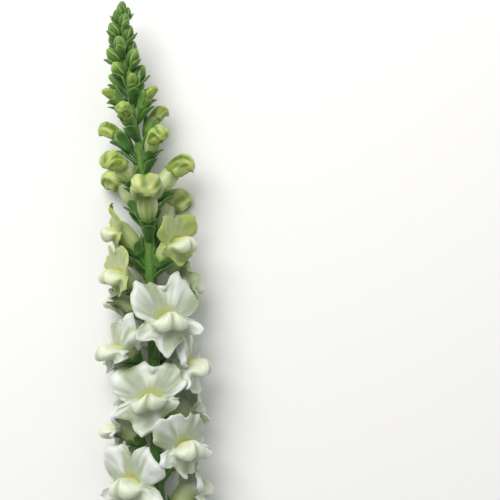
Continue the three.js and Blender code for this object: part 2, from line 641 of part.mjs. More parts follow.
// Lance-shaped leaf, folded along its midrib, waved, and turned over to lie more level.
function leaf(index) {
  const length = at(LEAF_LENGTH, index) * (1 + (LEAF_VARIATION / 100) * draw(index, 90));
  const width = at(LEAF_WIDTH, index);
  const stemAt = FIRST_LEAF_AT + LEAF_SPACING * index;
  const frame = stemFrame(stemAt, leafAzimuth(index));
  const midrib = leafMidrib(index, frame, length);
  const up = new THREE.Vector3(0, 0, 1);
  const rings = midrib.slice(0, -1).map((centre, i) => {
    const t = i / LEAF_STATIONS;
    const forward = midrib[i + 1].clone().sub(centre).normalize();
    const level = new THREE.Vector3().crossVectors(forward, up).normalize();
    if (level.dot(frame.side) * Math.sign(frame.out.z + 0.2) < 0) level.negate();
    const side = frame.side.clone().lerp(level, LEAF_LEVEL * smooth(1.8 * t)).projectOnPlane(forward).normalize();
    const top = new THREE.Vector3().crossVectors(forward, side).normalize();
    const blade = 0.5 * width * mix(LEAF_FOOT, 1, smooth(2.4 * t)) * Math.pow(1 - Math.pow(t, 2.4), 0.75);
    const fold = LEAF_FOLD * blade;
    const wave = LEAF_WAVE * width * Math.sin(7 * t + 2 * index) * t;
    const half = (LEAF_THICKNESS / 2) * mix(1, 0.75, t);
    const point = (across, lift) => centre.clone().addScaledVector(side, across).addScaledVector(top, lift);
    return [point(blade, fold + wave), point(0, half), point(-blade, fold - wave), point(0, -half)];
  });
  const root = place(frame, 0, at(STEM_RADIUS, stemAt) + SEAT_GAP, 0);
  rings[0].forEach((p) => p.addScaledVector(frame.out, 0.8));
  return outward(loft(rings, root, midrib[LEAF_STATIONS], (i, j) => j >= 2));
}

// ---------------------------------------------------------------- keeping neighbours apart

// Presses what lies past a plane back behind it: smoothly, so that no two points meet.
function squeezePoint(point, { normal, start, reach, push }) {
  const past = normal.dot(point) - start;
  if (past <= 0) return point;
  const moved = past <= reach
    ? push * (past / reach) ** 2
    : push + (2 * push * (past - reach)) / reach;
  return point.addScaledVector(normal, -moved);
}

// Moves a point of a flower as its neighbours press it. At the stem it stays where it grows.
function squeezed(flower, point) {
  const away = point.clone().sub(flower.frame.origin).dot(flower.frame.out);
  const start = point.clone();
  for (const squeeze of flower.squeezes) squeezePoint(point, squeeze);
  return point.lerpVectors(start, point.clone(), smooth((away - ROOTED) / ROOTED));
}

// Squeezes a piece so that no point of its cloud lies past the limit along the normal.
function squeezeTo(piece, normal, limit) {
  const heights = piece.cloud.map((p) => normal.dot(p));
  const highest = Math.max(...heights);
  const lowest = Math.min(...heights);
  const push = highest - limit;
  if (push <= 0.001) return;
  const reach = Math.max(SQUEEZE_SHARE * (highest - lowest), push / SQUEEZE_STEEPEST);
  const squeeze = { normal: normal.clone(), start: highest - reach, reach, push };
  piece.squeezes.push(squeeze);
  piece.cloud.forEach((p) => squeezePoint(p, squeeze));
}

// Plane that parts two clouds best: its normal, the first's highest and the second's lowest.
function partingPlane(first, second) {
  const test = (normal) => {
    let high = -Infinity;
    let low = Infinity;
    for (const p of first.cloud) high = Math.max(high, normal.dot(p));
    for (const p of second.cloud) low = Math.min(low, normal.dot(p));
    return { normal, high, low, gap: low - high };
  };
  const middle = (piece) => piece.cloud.reduce((sum, p) => sum.add(p), new THREE.Vector3())
    .divideScalar(piece.cloud.length);
  let best = test(middle(second).sub(middle(first)).normalize());
  for (const step of [0.5, 0.25, 0.12, 0.06, 0.03]) {
    for (let tries = 0; tries < 4; tries++) {
      const helper = Math.abs(best.normal.z) < 0.7 ? new THREE.Vector3(0, 0, 1) : new THREE.Vector3(1, 0, 0);
      const u = new THREE.Vector3().crossVectors(best.normal, helper).normalize();
      const v = new THREE.Vector3().crossVectors(best.normal, u);
      const before = best.gap;
      const from = best.normal;
      for (let k = 0; k < 8; k++) {
        const direction = from.clone()
          .addScaledVector(u, step * Math.cos((Math.PI * k) / 4))
          .addScaledVector(v, step * Math.sin((Math.PI * k) / 4)).normalize();
        const found = test(direction);
        if (found.gap > best.gap) best = found;
      }
      if (best.gap <= before) break;
    }
  }
  return best;
}

function separate(pieces) {
  const down = new THREE.Vector3(0, 0, -1);
  for (let pass = 0; pass < SEPARATING_ROUNDS; pass++) {
    pieces.forEach((piece) => squeezeTo(piece, down, 0));
    for (let a = 0; a < pieces.length; a++) {
      for (let b = a + 1; b < Math.min(pieces.length, a + NEIGHBOURS); b++) {
        if (pieces[b].green) continue;
        const { normal, high, low, gap } = partingPlane(pieces[a], pieces[b]);
        if (gap >= NEIGHBOUR_GAP) continue;
        const lead = 0.5 + UPPER_LEAD * (pieces[a].frame.out.z - pieces[b].frame.out.z);
        const parting = mix(low, high, lead);
        squeezeTo(pieces[a], normal, parting - NEIGHBOUR_GAP / 2);
        squeezeTo(pieces[b], normal.clone().negate(), -parting - NEIGHBOUR_GAP / 2);
      }
    }
  }
  pieces.forEach((piece) => squeezeTo(piece, down, 0));
}

// ---------------------------------------------------------------- the whole stem

const flowers = range(FLOWERS).map(describeFlower);
for (const flower of flowers) {
  const hasCorolla = flower.n >= FIRST_COROLLA;
  flower.green = !hasCorolla;
  flower.bract = bract(flower);
  flower.body = hasCorolla ? calyx(flower) : greenBud(flower);
  if (hasCorolla) flower.corolla = flower.n < FIRST_OPENING ? closedCorolla(flower) : openCorolla(flower);
  const solids = [flower.bract, flower.body, flower.corolla].filter(Boolean);
  flower.cloud = solids.flatMap((solid) => solid.points.map((p) => p.clone())).filter(
    (p) => p.clone().sub(flower.frame.origin).dot(flower.frame.out) > 2 * ROOTED);
}
separate(flowers.filter((flower) => flower.cloud.length > 0));
for (const flower of flowers) {
  const solids = [flower.bract, flower.body, flower.corolla].filter(Boolean);
  solids.forEach((solid) => solid.points.forEach((p) => squeezed(flower, p)));
}

const green = joined([stemSolid(), ...flowers.map((f) => f.bract), ...flowers.map((f) => f.body)]);

const colours = {
  stem: new THREE.Color(0.26, 0.45, 0.19),
  leaf: new THREE.Color(0.2, 0.4, 0.16),
  young: new THREE.Color(0.62, 0.7, 0.32),
  white: new THREE.Color(0.9, 0.92, 0.87),
};

function addMesh(name, shape, colour, roughness) {
  const material = new THREE.MeshStandardMaterial({ color: colour, roughness, metalness: 0 });
  const mesh = new THREE.Mesh(geometryOf(shape), material);
  mesh.name = name;
  plant.add(mesh);
}

const plant = new THREE.Group();
addMesh('stem', green, colours.stem, 0.6);
for (const flower of flowers.filter((f) => f.corolla)) {
  const kind = flower.n < FIRST_OPENING ? 'bud' : 'bloom';
  const colour = colours.young.clone().lerp(colours.white, flower.openness);
  addMesh(`${kind}_${String(flower.n).padStart(2, '0')}`, flower.corolla, colour, 0.7);
}
for (const index of range(LEAVES)) {
  addMesh(`leaf_${String(index + 1).padStart(2, '0')}`, leaf(index), colours.leaf, 0.55);
}

export default plant;
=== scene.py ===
"""Snapdragon stem, lying on a pale surface and looked down on.

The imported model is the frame. Each flower is grown again here by the same rules as its solids,
with fine petals, sepals, bracts, hairs and veins, and pressed by its neighbours in the same way.
Shapes are worked out in millimetres and turned into metres when a mesh is made. A table of pairs
holds knots of a curve, over the flower's number, over a length or over a share from 0 to 1.
"""

import math
import bpy
import numpy as np
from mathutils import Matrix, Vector


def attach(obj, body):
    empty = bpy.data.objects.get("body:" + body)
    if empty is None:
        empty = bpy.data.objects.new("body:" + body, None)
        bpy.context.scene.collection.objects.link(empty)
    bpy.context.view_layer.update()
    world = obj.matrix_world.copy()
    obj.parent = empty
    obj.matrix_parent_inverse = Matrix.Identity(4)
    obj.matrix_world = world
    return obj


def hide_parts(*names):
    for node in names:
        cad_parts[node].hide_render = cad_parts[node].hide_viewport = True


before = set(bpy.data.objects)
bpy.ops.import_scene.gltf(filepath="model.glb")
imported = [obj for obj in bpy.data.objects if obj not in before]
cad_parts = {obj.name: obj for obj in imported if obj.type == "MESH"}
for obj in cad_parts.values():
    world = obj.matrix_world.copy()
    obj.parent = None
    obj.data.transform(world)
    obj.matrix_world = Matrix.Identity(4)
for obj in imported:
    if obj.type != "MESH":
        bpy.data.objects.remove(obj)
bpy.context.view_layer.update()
MM = 0.001

# ---- driving dimensions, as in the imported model

STEM_PATH = [
    (-13.5, 221.2, 24.5), (-14.3, 206, 24), (-12.5, 196, 23.7), (-9.5, 176, 23.1),
    (-7, 161, 22.7), (-5, 151, 22.5), (-3.5, 138.5, 22.1), (-1.5, 121, 21.7), (-0.5, 106, 21.5),
    (0.5, 86, 21.5), (1.5, 61, 21.5), (2.5, 26, 21.5), (4, -14, 21.1), (6, -50, 19.5), (9, -90, 15.5),
    (11, -130, 10.9), (9, -170, 6.9), (3, -218, 3.4), (1, -226, 3.3),
]
MIDDLE = (9.5, -0.7)
STEM_RADIUS = [(0, 0.7), (40, 1.3), (80, 2.1), (105, 2.6), (140, 2.95), (280, 3.1), (460, 3.25)]

FLOWERS = 51
GOLDEN_ANGLE = 137.508
FRONT_FLOWER = 30
FRONT_AZIMUTH = 5
FIRST_FLOWER_AT = 3
SPACING = [(0, 1.75), (6, 2.5), (16, 2.95), (21, 4.2), (24, 6.4), (30, 7), (38, 7.6), (50, 8.2)]
FIRST_COROLLA = 16
FIRST_OPENING = 32
OPENNESS = [(31, 0), (32, 0.15), (35, 0.3), (36, 0.65), (37, 0.85), (38, 1)]

BUD_LENGTH = [(0, 6), (4, 7.6), (8, 9), (12, 10), (15, 10.6)]
BUD_RADIUS = [(0, 2.1), (4, 2.7), (8, 3.1), (12, 3.4), (15, 3.5)]
BRACT_LENGTH = [(0, 5), (6, 7.4), (16, 9.4), (24, 8.2), (50, 7.6)]
BRACT_WIDTH = [(0, 3), (6, 4.8), (16, 5.8), (30, 7.2), (50, 7.6)]
BRACT_THICKNESS = 0.9
BRACT_BELOW = 2.2
BRACT_CLEAR = 0.75
BRACT_FLARE = [(0, 0.2), (12, 0.8), (20, 1.2), (50, 1.6)]
STALK_LENGTH = [(0, 0.8), (8, 1.6), (16, 2.6), (28, 4.4), (50, 5.2)]
STALK_RADIUS = [(0, 0.5), (16, 0.8), (30, 1.05), (50, 1.15)]
STALK_ANGLE = [(0, 16), (4, 26), (8, 38), (16, 42), (30, 34), (36, 38), (50, 41)]
CALYX_LENGTH = [(16, 8.8), (20, 11), (24, 11.8), (30, 10.2), (50, 10)]
CALYX_THICKNESS = 0.7
CALYX_LOBES = 5
CALYX_GAP = 0.42
CALYX_BELLY = 0.34
COROLLA_START = 1.9

CLOSED_LENGTH = [(16, 11.5), (20, 17), (23, 22), (26, 26.5), (28, 31.5), (30, 38.5), (31, 39)]
TUBE_RADIUS = [(16, 2.4), (20, 2.9), (24, 3.6), (28, 4.6), (31, 5.1), (50, 5.6)]
CAP_PROFILE = [(0.6, 0, 0, 0), (0.67, 0.97, 0, 1), (0.8, 0.94, 0.05, 0), (0.92, 0.67, 0.24, 0.8)]
CAP_HOOK = 0.42
CAP_DEPTH = 0.3
CAP_RADIUS = [(16, 2.7), (20, 3.6), (24, 4.8), (28, 6.6), (30, 8.3), (31, 8.6)]
CLOSED_TIP_ANGLE = [(16, 54), (20, 78), (24, 96), (28, 108), (31, 114)]
HOOD_FROM = 17
HOOD_OVER = 7
LEDGE = 0.07
TURNED_ASIDE = {35: -34, 40: -7, 43: 6, 49: 16}
BEND_EXPONENT = 2.6
OPEN_TUBE_LENGTH = 19
OPEN_TUBE_ANGLE = 46
FACE_ANGLE = 86

LIP_DIRECTION = [90, 70, 49, 21, -3, -15, -33, -64, -90]
THROAT_LENGTH = [5.5, 5.5, 5, 4.5, 5, 9.5, 15.5, 20.5, 22]
LOBE_LENGTH = [15.5, 18.5, 20.5, 16, 8, 11.5, 15, 11, 14]
UPPER_THROAT_BEND = [(0, 66), (1, 90)]
UPPER_LOBE_BEND = [(0, 90), (0.55, 96), (1, 150)]
LOWER_THROAT_BEND = [(0, -12), (0.25, 4), (0.45, 48), (0.66, 100), (0.86, 150), (1, 156)]
LOWER_LOBE_BEND = [(0, 150), (0.22, 104), (0.5, 80), (0.75, 92), (1, 150)]
MOUTH_HALF_WIDTH = 5
MOUTH_ARCH = 2.6
MOUTH_FORWARD = 1.2
PETAL_THICKNESS = 0.95
UNDERSIDE_SIZE = 0.84
LOBE_VARIATION = 0.14
CURL_VARIATION = 22
POSE_VARIATION = 7
LIP_NEAREST = 5.5
LIP_SOFT = 3

LEAVES = 9
FIRST_LEAF_AT = 297
LEAF_SPACING = 12.5
LEAF_LENGTH = [(0, 27), (3, 44), (8, 58)]
LEAF_WIDTH = [(0, 7), (3, 10.5), (8, 14)]
LEAF_LOWEST = 1.6
LEAF_SOFT = 2.4
LEAF_ANGLE = 50
LEAF_LEVEL = 0.8
LEAF_FOLD = 0.2
LEAF_WAVE = 0.07
LEAF_WIDEST_AZIMUTH = 98

ROOTED = 2.2
SEAT_GAP = 0.35
NEIGHBOUR_GAP = 0.6
UPPER_LEAD = 0.12
SEPARATING_ROUNDS = 12
NEIGHBOURS = 21
FLOOR_CLEAR = 0.02

# ---- small helpers


def at(knots, position):
    """Value of (position, value) knots at a position, straight between knots."""
    return np.interp(position, *zip(*knots))


def smooth(t):
    """Eases from 0 to 1 while t goes from 0 to 1."""
    t = np.clip(t, 0, 1)
    return t * t * (3 - 2 * t)


def ramp(x, start, width):
    """Eases from 0 to 1 over a width that begins at start."""
    return smooth((x - start) / width)


def mix(a, b, t):
    """Value at share t of the way from a to b."""
    return a + (b - a) * t


def draw(item, salt):
    """Seeded draw between -1 and 1 that depends only on the two numbers given."""
    wave = math.sin(item * 12.9898 + salt * 78.233 + 4.1) * 43758.5453
    return 2 * (wave - math.floor(wave)) - 1


def unit(vectors):
    """Vectors along the last axis, brought to length 1."""
    return vectors / np.maximum(np.linalg.norm(vectors, axis=-1, keepdims=True), 1e-12)


def turns(count, start=0.0):
    """Angles in radians of columns spread evenly round a ring."""
    return math.tau * np.arange(count) / count + start


def bell(x, width):
    """Soft bump of height 1 at 0."""
    return np.exp(-(x / width) ** 2)


def spline(values, positions, closed=False):
    """Catmull-Rom curve through rows of values, read at positions counted in rows."""
    positions = np.asarray(positions, float)
    cell = np.floor(positions).astype(int)
    if closed:
        rows = np.concatenate([values[-1:], values, values[:2]])
    else:
        cell = np.clip(cell, 0, len(values) - 2)
        rows = np.concatenate([2 * values[:1] - values[1:2], values, 2 * values[-1:] - values[-2:-1]])
    t = (positions - cell).reshape((-1,) + (1,) * (values.ndim - 1))
    p0, p1, p2, p3 = (rows[cell + k] for k in range(4))
    return 0.5 * (2 * p1 + (p2 - p0) * t + (2 * p0 - 5 * p1 + 4 * p2 - p3) * t * t
                  + (3 * p1 - p0 - 3 * p2 + p3) * t ** 3)


def ripple(seed, position, octaves=3):
    """Smooth seeded wave round a closed outline: position 0 to 1 is once round."""
    total = np.zeros_like(position)
    for k in range(octaves):
        waves = 2 ** k * 3 + round(1.5 + 1.5 * draw(seed, 11 + k))
        total = total + np.sin(math.tau * (waves * position + draw(seed, 21 + k))) / 2 ** k
    return total


# ---- the stem's centre line

PATH = np.array(STEM_PATH, float) - (*MIDDLE, 0)


def path_point(t):
    """Point of the centripetal Catmull-Rom curve through PATH at t from 0 to 1."""
    last = len(PATH) - 1
    cell = min(int(t * last), last - 1)
    w = t * last - cell
    p1, p2 = PATH[cell], PATH[cell + 1]
    p0 = PATH[cell - 1] if cell > 0 else 2 * PATH[0] - PATH[1]
    p3 = PATH[cell + 2] if cell + 2 <= last else 2 * PATH[last] - PATH[last - 1]
    d0, d1, d2 = (np.sum((b - a) ** 2) ** 0.25 for a, b in ((p0, p1), (p1, p2), (p2, p3)))
    m1 = ((p1 - p0) / d0 - (p2 - p0) / (d0 + d1) + (p2 - p1) / d1) * d1
    m2 = ((p2 - p1) / d1 - (p3 - p1) / (d1 + d2) + (p3 - p2) / d2) * d1
    return p1 + m1 * w + (3 * (p2 - p1) - 2 * m1 - m2) * w ** 2 + (2 * (p1 - p2) + m1 + m2) * w ** 3


PATH_STEPS = 200
PATH_SAMPLES = np.array([path_point(i / PATH_STEPS) for i in range(PATH_STEPS + 1)])
PATH_STRIDES = np.linalg.norm(np.diff(PATH_SAMPLES, axis=0), axis=1)
PATH_LENGTHS = np.concatenate([[0], np.cumsum(PATH_STRIDES)])
STEM_LENGTH = PATH_LENGTHS[-1]


class Frame:
    """Axes at a length along the stem from the tip, facing the given way round. Azimuth 0 is up."""

    def __init__(self, length, azimuth):
        length = np.clip(length, 0, STEM_LENGTH)
        t = float(np.interp(length, PATH_LENGTHS, np.linspace(0, 1, PATH_STEPS + 1)))
        ahead = path_point(min(1, t + 0.0001)) - path_point(max(0, t - 0.0001))
        self.along = -ahead / np.linalg.norm(ahead)
        right = np.cross(self.along, (0, 0, 1))
        right /= np.linalg.norm(right)
        up = np.cross(right, self.along)
        turn = math.radians(azimuth)
        self.out = up * math.cos(turn) + right * math.sin(turn)
        self.side = np.cross(self.along, self.out)
        self.origin = path_point(t)

    def place(self, across, away, along):
        """Points at distances across, away from the stem and along it towards the tip."""
        across, away, along = np.broadcast_arrays(across, away, along)
        return (self.origin + across[..., None] * self.side + away[..., None] * self.out
                + along[..., None] * self.along)


# ---- one flower's lines

FLOWER_AT = [FIRST_FLOWER_AT]
for n in range(1, FLOWERS):
    FLOWER_AT.append(FLOWER_AT[-1] + at(SPACING, n - 0.5))

LINE_STEPS = 24
STALK_ROOT = (0, -0.2, -0.8)
BRACT_ROOT = (0, -0.2, -BRACT_BELOW)
TOP = math.pi / 2


class Flower:
    """One flower of the spiral: where it grows, how it bends and how far it is open."""

    def __init__(self, n):
        self.n = n
        azimuth = FRONT_AZIMUTH + GOLDEN_ANGLE * (n - FRONT_FLOWER) + TURNED_ASIDE.get(n, 0)
        stalk_angle = at(STALK_ANGLE, n)
        reach = at(STEM_RADIUS, FLOWER_AT[n]) * 0.6 + at(STALK_LENGTH, n)
        self.start = (reach * math.sin(math.radians(stalk_angle)) + 0.6,
                      reach * math.cos(math.radians(stalk_angle)))
        self.opened = n >= FIRST_OPENING
        self.openness = at(OPENNESS, n)
        tilt = (POSE_VARIATION if self.opened else 4) * draw(n, 1)
        self.frame = Frame(FLOWER_AT[n], azimuth + 3 * draw(n, 2))
        self.start_angle = stalk_angle - 6
        self.end_angle = OPEN_TUBE_ANGLE if self.opened else at(CLOSED_TIP_ANGLE, n) + tilt
        self.full_length = OPEN_TUBE_LENGTH if self.opened else at(CLOSED_LENGTH, n)
        self.face_angle = FACE_ANGLE + tilt + 14 * (1 - self.openness)
        self.belly = CALYX_BELLY * at(CALYX_LENGTH, n)
        self.squeezes = []

    def line(self, length):
        """Middle line at lengths: away from the stem, along it, and the angle from it."""
        length = np.asarray(length, float)
        steps = (np.arange(LINE_STEPS) + 0.5) / LINE_STEPS
        t = np.clip(steps * length[..., None] / self.full_length, 0, 1)
        angle = np.radians(mix(self.start_angle, self.end_angle, t ** BEND_EXPONENT))
        away = self.start[0] + np.sin(angle).sum(-1) * length / LINE_STEPS
        along = self.start[1] + np.cos(angle).sum(-1) * length / LINE_STEPS
        end = np.clip(length / self.full_length, 0, 1) ** BEND_EXPONENT
        return away, along, np.radians(mix(self.start_angle, self.end_angle, end))

    def section(self, length, x, y):
        """Points at x across and y up from the middle line."""
        away, along, angle = self.line(length)
        return self.frame.place(x, away - np.cos(angle) * y, along + np.sin(angle) * y)

    def round(self, length, radius, turn):
        """Points round the middle line. Turn 0 is the flower's right side, 90 degrees its top."""
        return self.section(length, radius * np.cos(turn), radius * np.sin(turn))

    def on_line(self, length):
        """Point of the middle line."""
        return self.section(length, 0, 0)

    def tube_radius(self, length):
        """Radius of the corolla's tube, which widens from its base."""
        return at(TUBE_RADIUS, self.n) * mix(0.42, 1, smooth(length / (0.62 * min(self.full_length, 22))))

    def squeezed(self, points):
        """Where its neighbours press points of the flower to. At the stem they stay."""
        start = points.reshape(-1, 3)
        pressed = start.copy()
        for squeeze in self.squeezes:
            press(pressed, squeeze)
        away = (start - self.frame.origin) @ self.frame.out
        share = ramp(away, ROOTED, ROOTED)[:, None]
        return mix(start, pressed, share).reshape(points.shape)


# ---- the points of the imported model's solids, which show where neighbours meet


def stalk_ring(flower, columns, radius):
    """Ring inside the stem that the flower's stalk starts from."""
    root = flower.frame.place(0, 0.2, -0.6)
    direction = flower.on_line(0) - root
    direction /= np.linalg.norm(direction)
    up = -np.cross(flower.frame.side, direction)
    up /= np.linalg.norm(up)
    turn = turns(columns, TOP)
    return root + radius * (np.cos(turn)[:, None] * flower.frame.side + np.sin(turn)[:, None] * up)


def body_radius(flower, length):
    """Radius of the green body that a bract lies against."""
    if flower.n >= FIRST_COROLLA:
        return (flower.tube_radius(length) + CALYX_GAP + CALYX_THICKNESS) * 1.08
    return at(BUD_RADIUS, flower.n) * mix(0.5, 1, smooth(2.5 * length / at(BUD_LENGTH, flower.n)))


def bract_station(flower, t):
    """Middle of the bract at t from root to tip: away, along, and the angle it lies at."""
    n = flower.n
    flare = at(BRACT_FLARE, n) * (1 + 0.3 * draw(n, 5))
    length = np.maximum(0, (np.asarray(t, float) - 0.12) * at(BRACT_LENGTH, n))
    away, along, angle = flower.line(length)
    offset = body_radius(flower, length) + BRACT_CLEAR + flare * np.asarray(t) ** 2
    return away + np.cos(angle) * offset, along - np.sin(angle) * offset, angle


def solid_bract(flower):
    """Leafy scale: two flat diamonds, a tip and a root."""
    n, place = flower.n, flower.frame.place
    width = at(BRACT_WIDTH, n)
    half = BRACT_THICKNESS / 2
    profile = [(0, 0.3), (0.55, 1)] if n < FIRST_COROLLA else [(0, 0.24), (0.42, 1), (0.8, 0.72)]
    points = []
    for t, w in profile:
        away, along, angle = bract_station(flower, t) if t > 0 else (0.4, -BRACT_BELOW, TOP)
        cup = 0.2 * width * w
        for across, lift in ((0.5, cup), (0, half), (-0.5, cup), (0, -half)):
            points.append(place(across * width * w, away - math.cos(angle) * lift,
                                along + math.sin(angle) * lift))
    away, along, _ = bract_station(flower, 1)
    return np.array([*points, place(0, away, along), place(*BRACT_ROOT)])


def solid_green_bud(flower):
    """Green bud at the stem's tip, on its stalk."""
    length = at(BUD_LENGTH, flower.n)
    rings = [flower.round(t * length, r * at(BUD_RADIUS, flower.n), turns(8, TOP))
             for t, r in ((0.1, 0.55), (0.4, 1), (0.74, 0.8))]
    return np.vstack([stalk_ring(flower, 4, at(STALK_RADIUS, flower.n)), *rings,
                      flower.frame.place(*STALK_ROOT), flower.on_line(length)])


def solid_calyx(flower):
    """Cup of five lobes on its stalk."""
    n = flower.n
    length = at(CALYX_LENGTH, n)
    columns = 2 * CALYX_LOBES
    facet = 1 / math.cos(math.pi / columns)
    tip = np.arange(columns) % 2 == 0
    reach = np.array([length * (1 + 0.12 * draw(n, 20 + j)) if tip[j] else 0.5 * length
                      for j in range(columns)])

    def ring(offset, at_length):
        radius = (flower.tube_radius(at_length) + offset) * facet
        return flower.round(at_length, radius, turns(columns, TOP))

    belly = np.full(columns, flower.belly)
    radius = at(STALK_RADIUS, n)
    return np.vstack([
        stalk_ring(flower, CALYX_LOBES, radius),
        flower.round(0, radius * 1.3, turns(CALYX_LOBES, TOP)),
        ring(CALYX_GAP + CALYX_THICKNESS, belly),
        ring(CALYX_GAP + CALYX_THICKNESS * np.where(tip, 1.5, 0.6), reach),
        ring(CALYX_GAP, belly),
        flower.frame.place(*STALK_ROOT), flower.on_line(0.8)])


def hooding(flower):
    """How far the top of a closed corolla is a hood, from 0 to 1."""
    return ramp(flower.n, HOOD_FROM, HOOD_OVER)


def solid_closed_corolla(flower):
    """Tube and hood in rings of eight points."""
    turn = turns(8)
    full = flower.full_length
    tube, cap = at(TUBE_RADIUS, flower.n), at(CAP_RADIUS, flower.n)
    rings = []
    for t, capped, hook, slant in [(flower.belly / full, 0, 0, 0), *CAP_PROFILE]:
        length = (t - slant * LEDGE * hooding(flower) * np.sin(turn)) * full
        wide = cap * capped if capped > 0 else flower.tube_radius(length)
        deep = wide * (mix(tube, cap, CAP_DEPTH) / cap if capped > 0 else 1)
        sunk = hook * hooding(flower) * cap
        rings.append(flower.section(length, wide * np.cos(turn), deep * np.sin(turn) - sunk))
    tip = flower.section(full, 0, -CAP_HOOK * hooding(flower) * cap)
    return np.vstack([*rings, flower.on_line(COROLLA_START), tip])


LIP_COLUMNS = 16
LIP_STEPS = 12
# Columns count from the mouth's right corner. The half outlines count from its top.
HALF_PLACE = [min((j - 4) % LIP_COLUMNS, (4 - j) % LIP_COLUMNS) for j in range(LIP_COLUMNS)]


def lip_round(half, flower, salt, amount):
    """Values round the mouth from a half outline, each varied by up to amount."""
    return np.array([half[place] * (1 + amount * draw(flower.n, salt + j))
                     for j, place in enumerate(HALF_PLACE)])


class Lips:
    """Lines of petal that run out of the mouth of an opened corolla, one for each column."""

    def __init__(self, flower):
        self.flower = flower
        self.away, self.along, _ = flower.line(flower.full_length)
        self.face = math.radians(flower.face_angle)
        size = mix(UNDERSIDE_SIZE, 1, smooth(0.5 + flower.frame.out[2]))
        lobe_size = size * mix(0.4, 1, flower.openness)
        self.throat = lip_round(THROAT_LENGTH, flower, 30, 0.04) * size * mix(0.8, 1, flower.openness)
        self.lobe = lip_round(LOBE_LENGTH, flower, 50, LOBE_VARIATION) * lobe_size
        self.turn = turns(LIP_COLUMNS)
        self.sign = np.array([1 if j <= 4 or j >= 12 else -1 for j in range(LIP_COLUMNS)])
        self.tilt = np.radians([LIP_DIRECTION[place] for place in HALF_PLACE])
        self.upper = smooth(0.5 + np.sin(self.turn) * 1.4)
        curl = np.array([CURL_VARIATION * draw(flower.n, 70 + j) for j in range(LIP_COLUMNS)])
        self.curl = curl - 46 * (1 - flower.openness)
        self.path = self.walk()

    def bend(self, k):
        """Angle of each column's line at a step, from straight out to folded back."""
        w = (k % LIP_STEPS + 0.5) / LIP_STEPS
        if k < LIP_STEPS:
            return np.radians(mix(at(LOWER_THROAT_BEND, w), at(UPPER_THROAT_BEND, w), self.upper))
        low_to_high = mix(at(LOWER_LOBE_BEND, w), at(UPPER_LOBE_BEND, w), self.upper)
        return np.radians(low_to_high + self.curl * w * mix(0.5, 1, self.upper))

    def walk(self):
        """Steps of all columns from the mouth to the margin: across, up, forward and bend."""
        across = MOUTH_HALF_WIDTH * np.cos(self.turn)
        up = MOUTH_ARCH * (1 - np.cos(self.turn) ** 2) - 1
        forward = np.full(LIP_COLUMNS, float(MOUTH_FORWARD))
        path = [(across, up, forward, np.zeros(LIP_COLUMNS))]
        for k in range(2 * LIP_STEPS):
            alpha = self.bend(k)
            stride = (self.throat if k < LIP_STEPS else self.lobe) / LIP_STEPS
            across = across + stride * np.sin(alpha) * np.cos(self.tilt) * self.sign
            up = up + stride * np.sin(alpha) * np.sin(self.tilt)
            forward = forward + stride * np.cos(alpha)
            path.append((across, up, forward, alpha))
        return np.array(path).transpose(0, 2, 1)

    def to_world(self, x, y, z):
        """Points at x across, y up and z forward of the mouth, kept off the stem."""
        out = self.away + z * math.sin(self.face) - y * math.cos(self.face)
        past = np.minimum(0, out - LIP_NEAREST - LIP_SOFT)
        out = np.where(past < 0, LIP_NEAREST + LIP_SOFT * np.exp(past / LIP_SOFT), out)
        along = self.along + z * math.cos(self.face) + y * math.sin(self.face)
        return self.flower.frame.place(x, out, along)

    def ring(self, v, back):
        """The solid's ring at v from the mouth to the margin, moved back by the thickness."""
        step = v * 2 * LIP_STEPS
        k = min(2 * LIP_STEPS - 1, int(step))
        x, y, z = mix(self.path[k], self.path[k + 1], step - k).T[:3]
        alpha = self.path[max(1, int(step + 0.5))][:, 3]
        out = np.cos(alpha) * back
        return self.to_world(x + out * np.cos(self.tilt) * self.sign,
                             y + out * np.sin(self.tilt), z - np.sin(alpha) * back)


TUBE_END = 0.94


def solid_open_corolla(flower):
    """Tube, backs and fronts of the lobes, and the closed mouth."""
    lips = Lips(flower)
    rings = [flower.round(length, flower.tube_radius(length), turns(LIP_COLUMNS))
             for length in (flower.belly, 0.55 * flower.full_length, TUBE_END * flower.full_length)]
    rings += [lips.ring(v, PETAL_THICKNESS) for v in (0.5, 0.75)]
    rings += [lips.ring(v, 0) for v in (1, 0.75, 0.5, 0.34, 0.14)]
    return np.vstack([*rings, flower.on_line(COROLLA_START), lips.ring(0, 0)[:9]])


# ---- keeping neighbours apart


def press(points, squeeze):
    """Presses points that lie past a plane back behind it, in place."""
    normal, start, reach, push = squeeze
    past = points @ normal - start
    moved = np.where(past <= reach, push * (past / reach) ** 2, push + 2 * push * (past - reach) / reach)
    points -= np.where(past > 0, moved, 0)[:, None] * normal


def squeeze_to(flower, normal, limit):
    """Squeezes the flower so that nothing of it lies past the limit along a normal."""
    heights = flower.cloud @ normal
    highest = heights.max()
    push = highest - limit
    if push <= 0.001:
        return
    reach = max(0.6 * (highest - heights.min()), push / 0.36)
    squeeze = (normal, highest - reach, reach, push)
    flower.squeezes.append(squeeze)
    press(flower.cloud, squeeze)


def parting_plane(first, second):
    """Plane that parts two clouds best: its normal, the first's highest, the second's lowest."""
    normal = second.mean(0) - first.mean(0)
    normal /= np.linalg.norm(normal)
    best = (normal, (first @ normal).max(), (second @ normal).min())
    around = turns(8)
    for step in (0.5, 0.25, 0.12, 0.06, 0.03):
        for _ in range(4):
            normal = best[0]
            u = np.cross(normal, (0, 0, 1) if abs(normal[2]) < 0.7 else (1, 0, 0))
            u /= np.linalg.norm(u)
            v = np.cross(normal, u)
            trial = unit(normal + step * (np.cos(around)[:, None] * u + np.sin(around)[:, None] * v))
            high, low = (first @ trial.T).max(0), (second @ trial.T).min(0)
            k = int(np.argmax(low - high))
            if low[k] - high[k] <= best[2] - best[1]:
                break
            best = (trial[k], high[k], low[k])
    return best


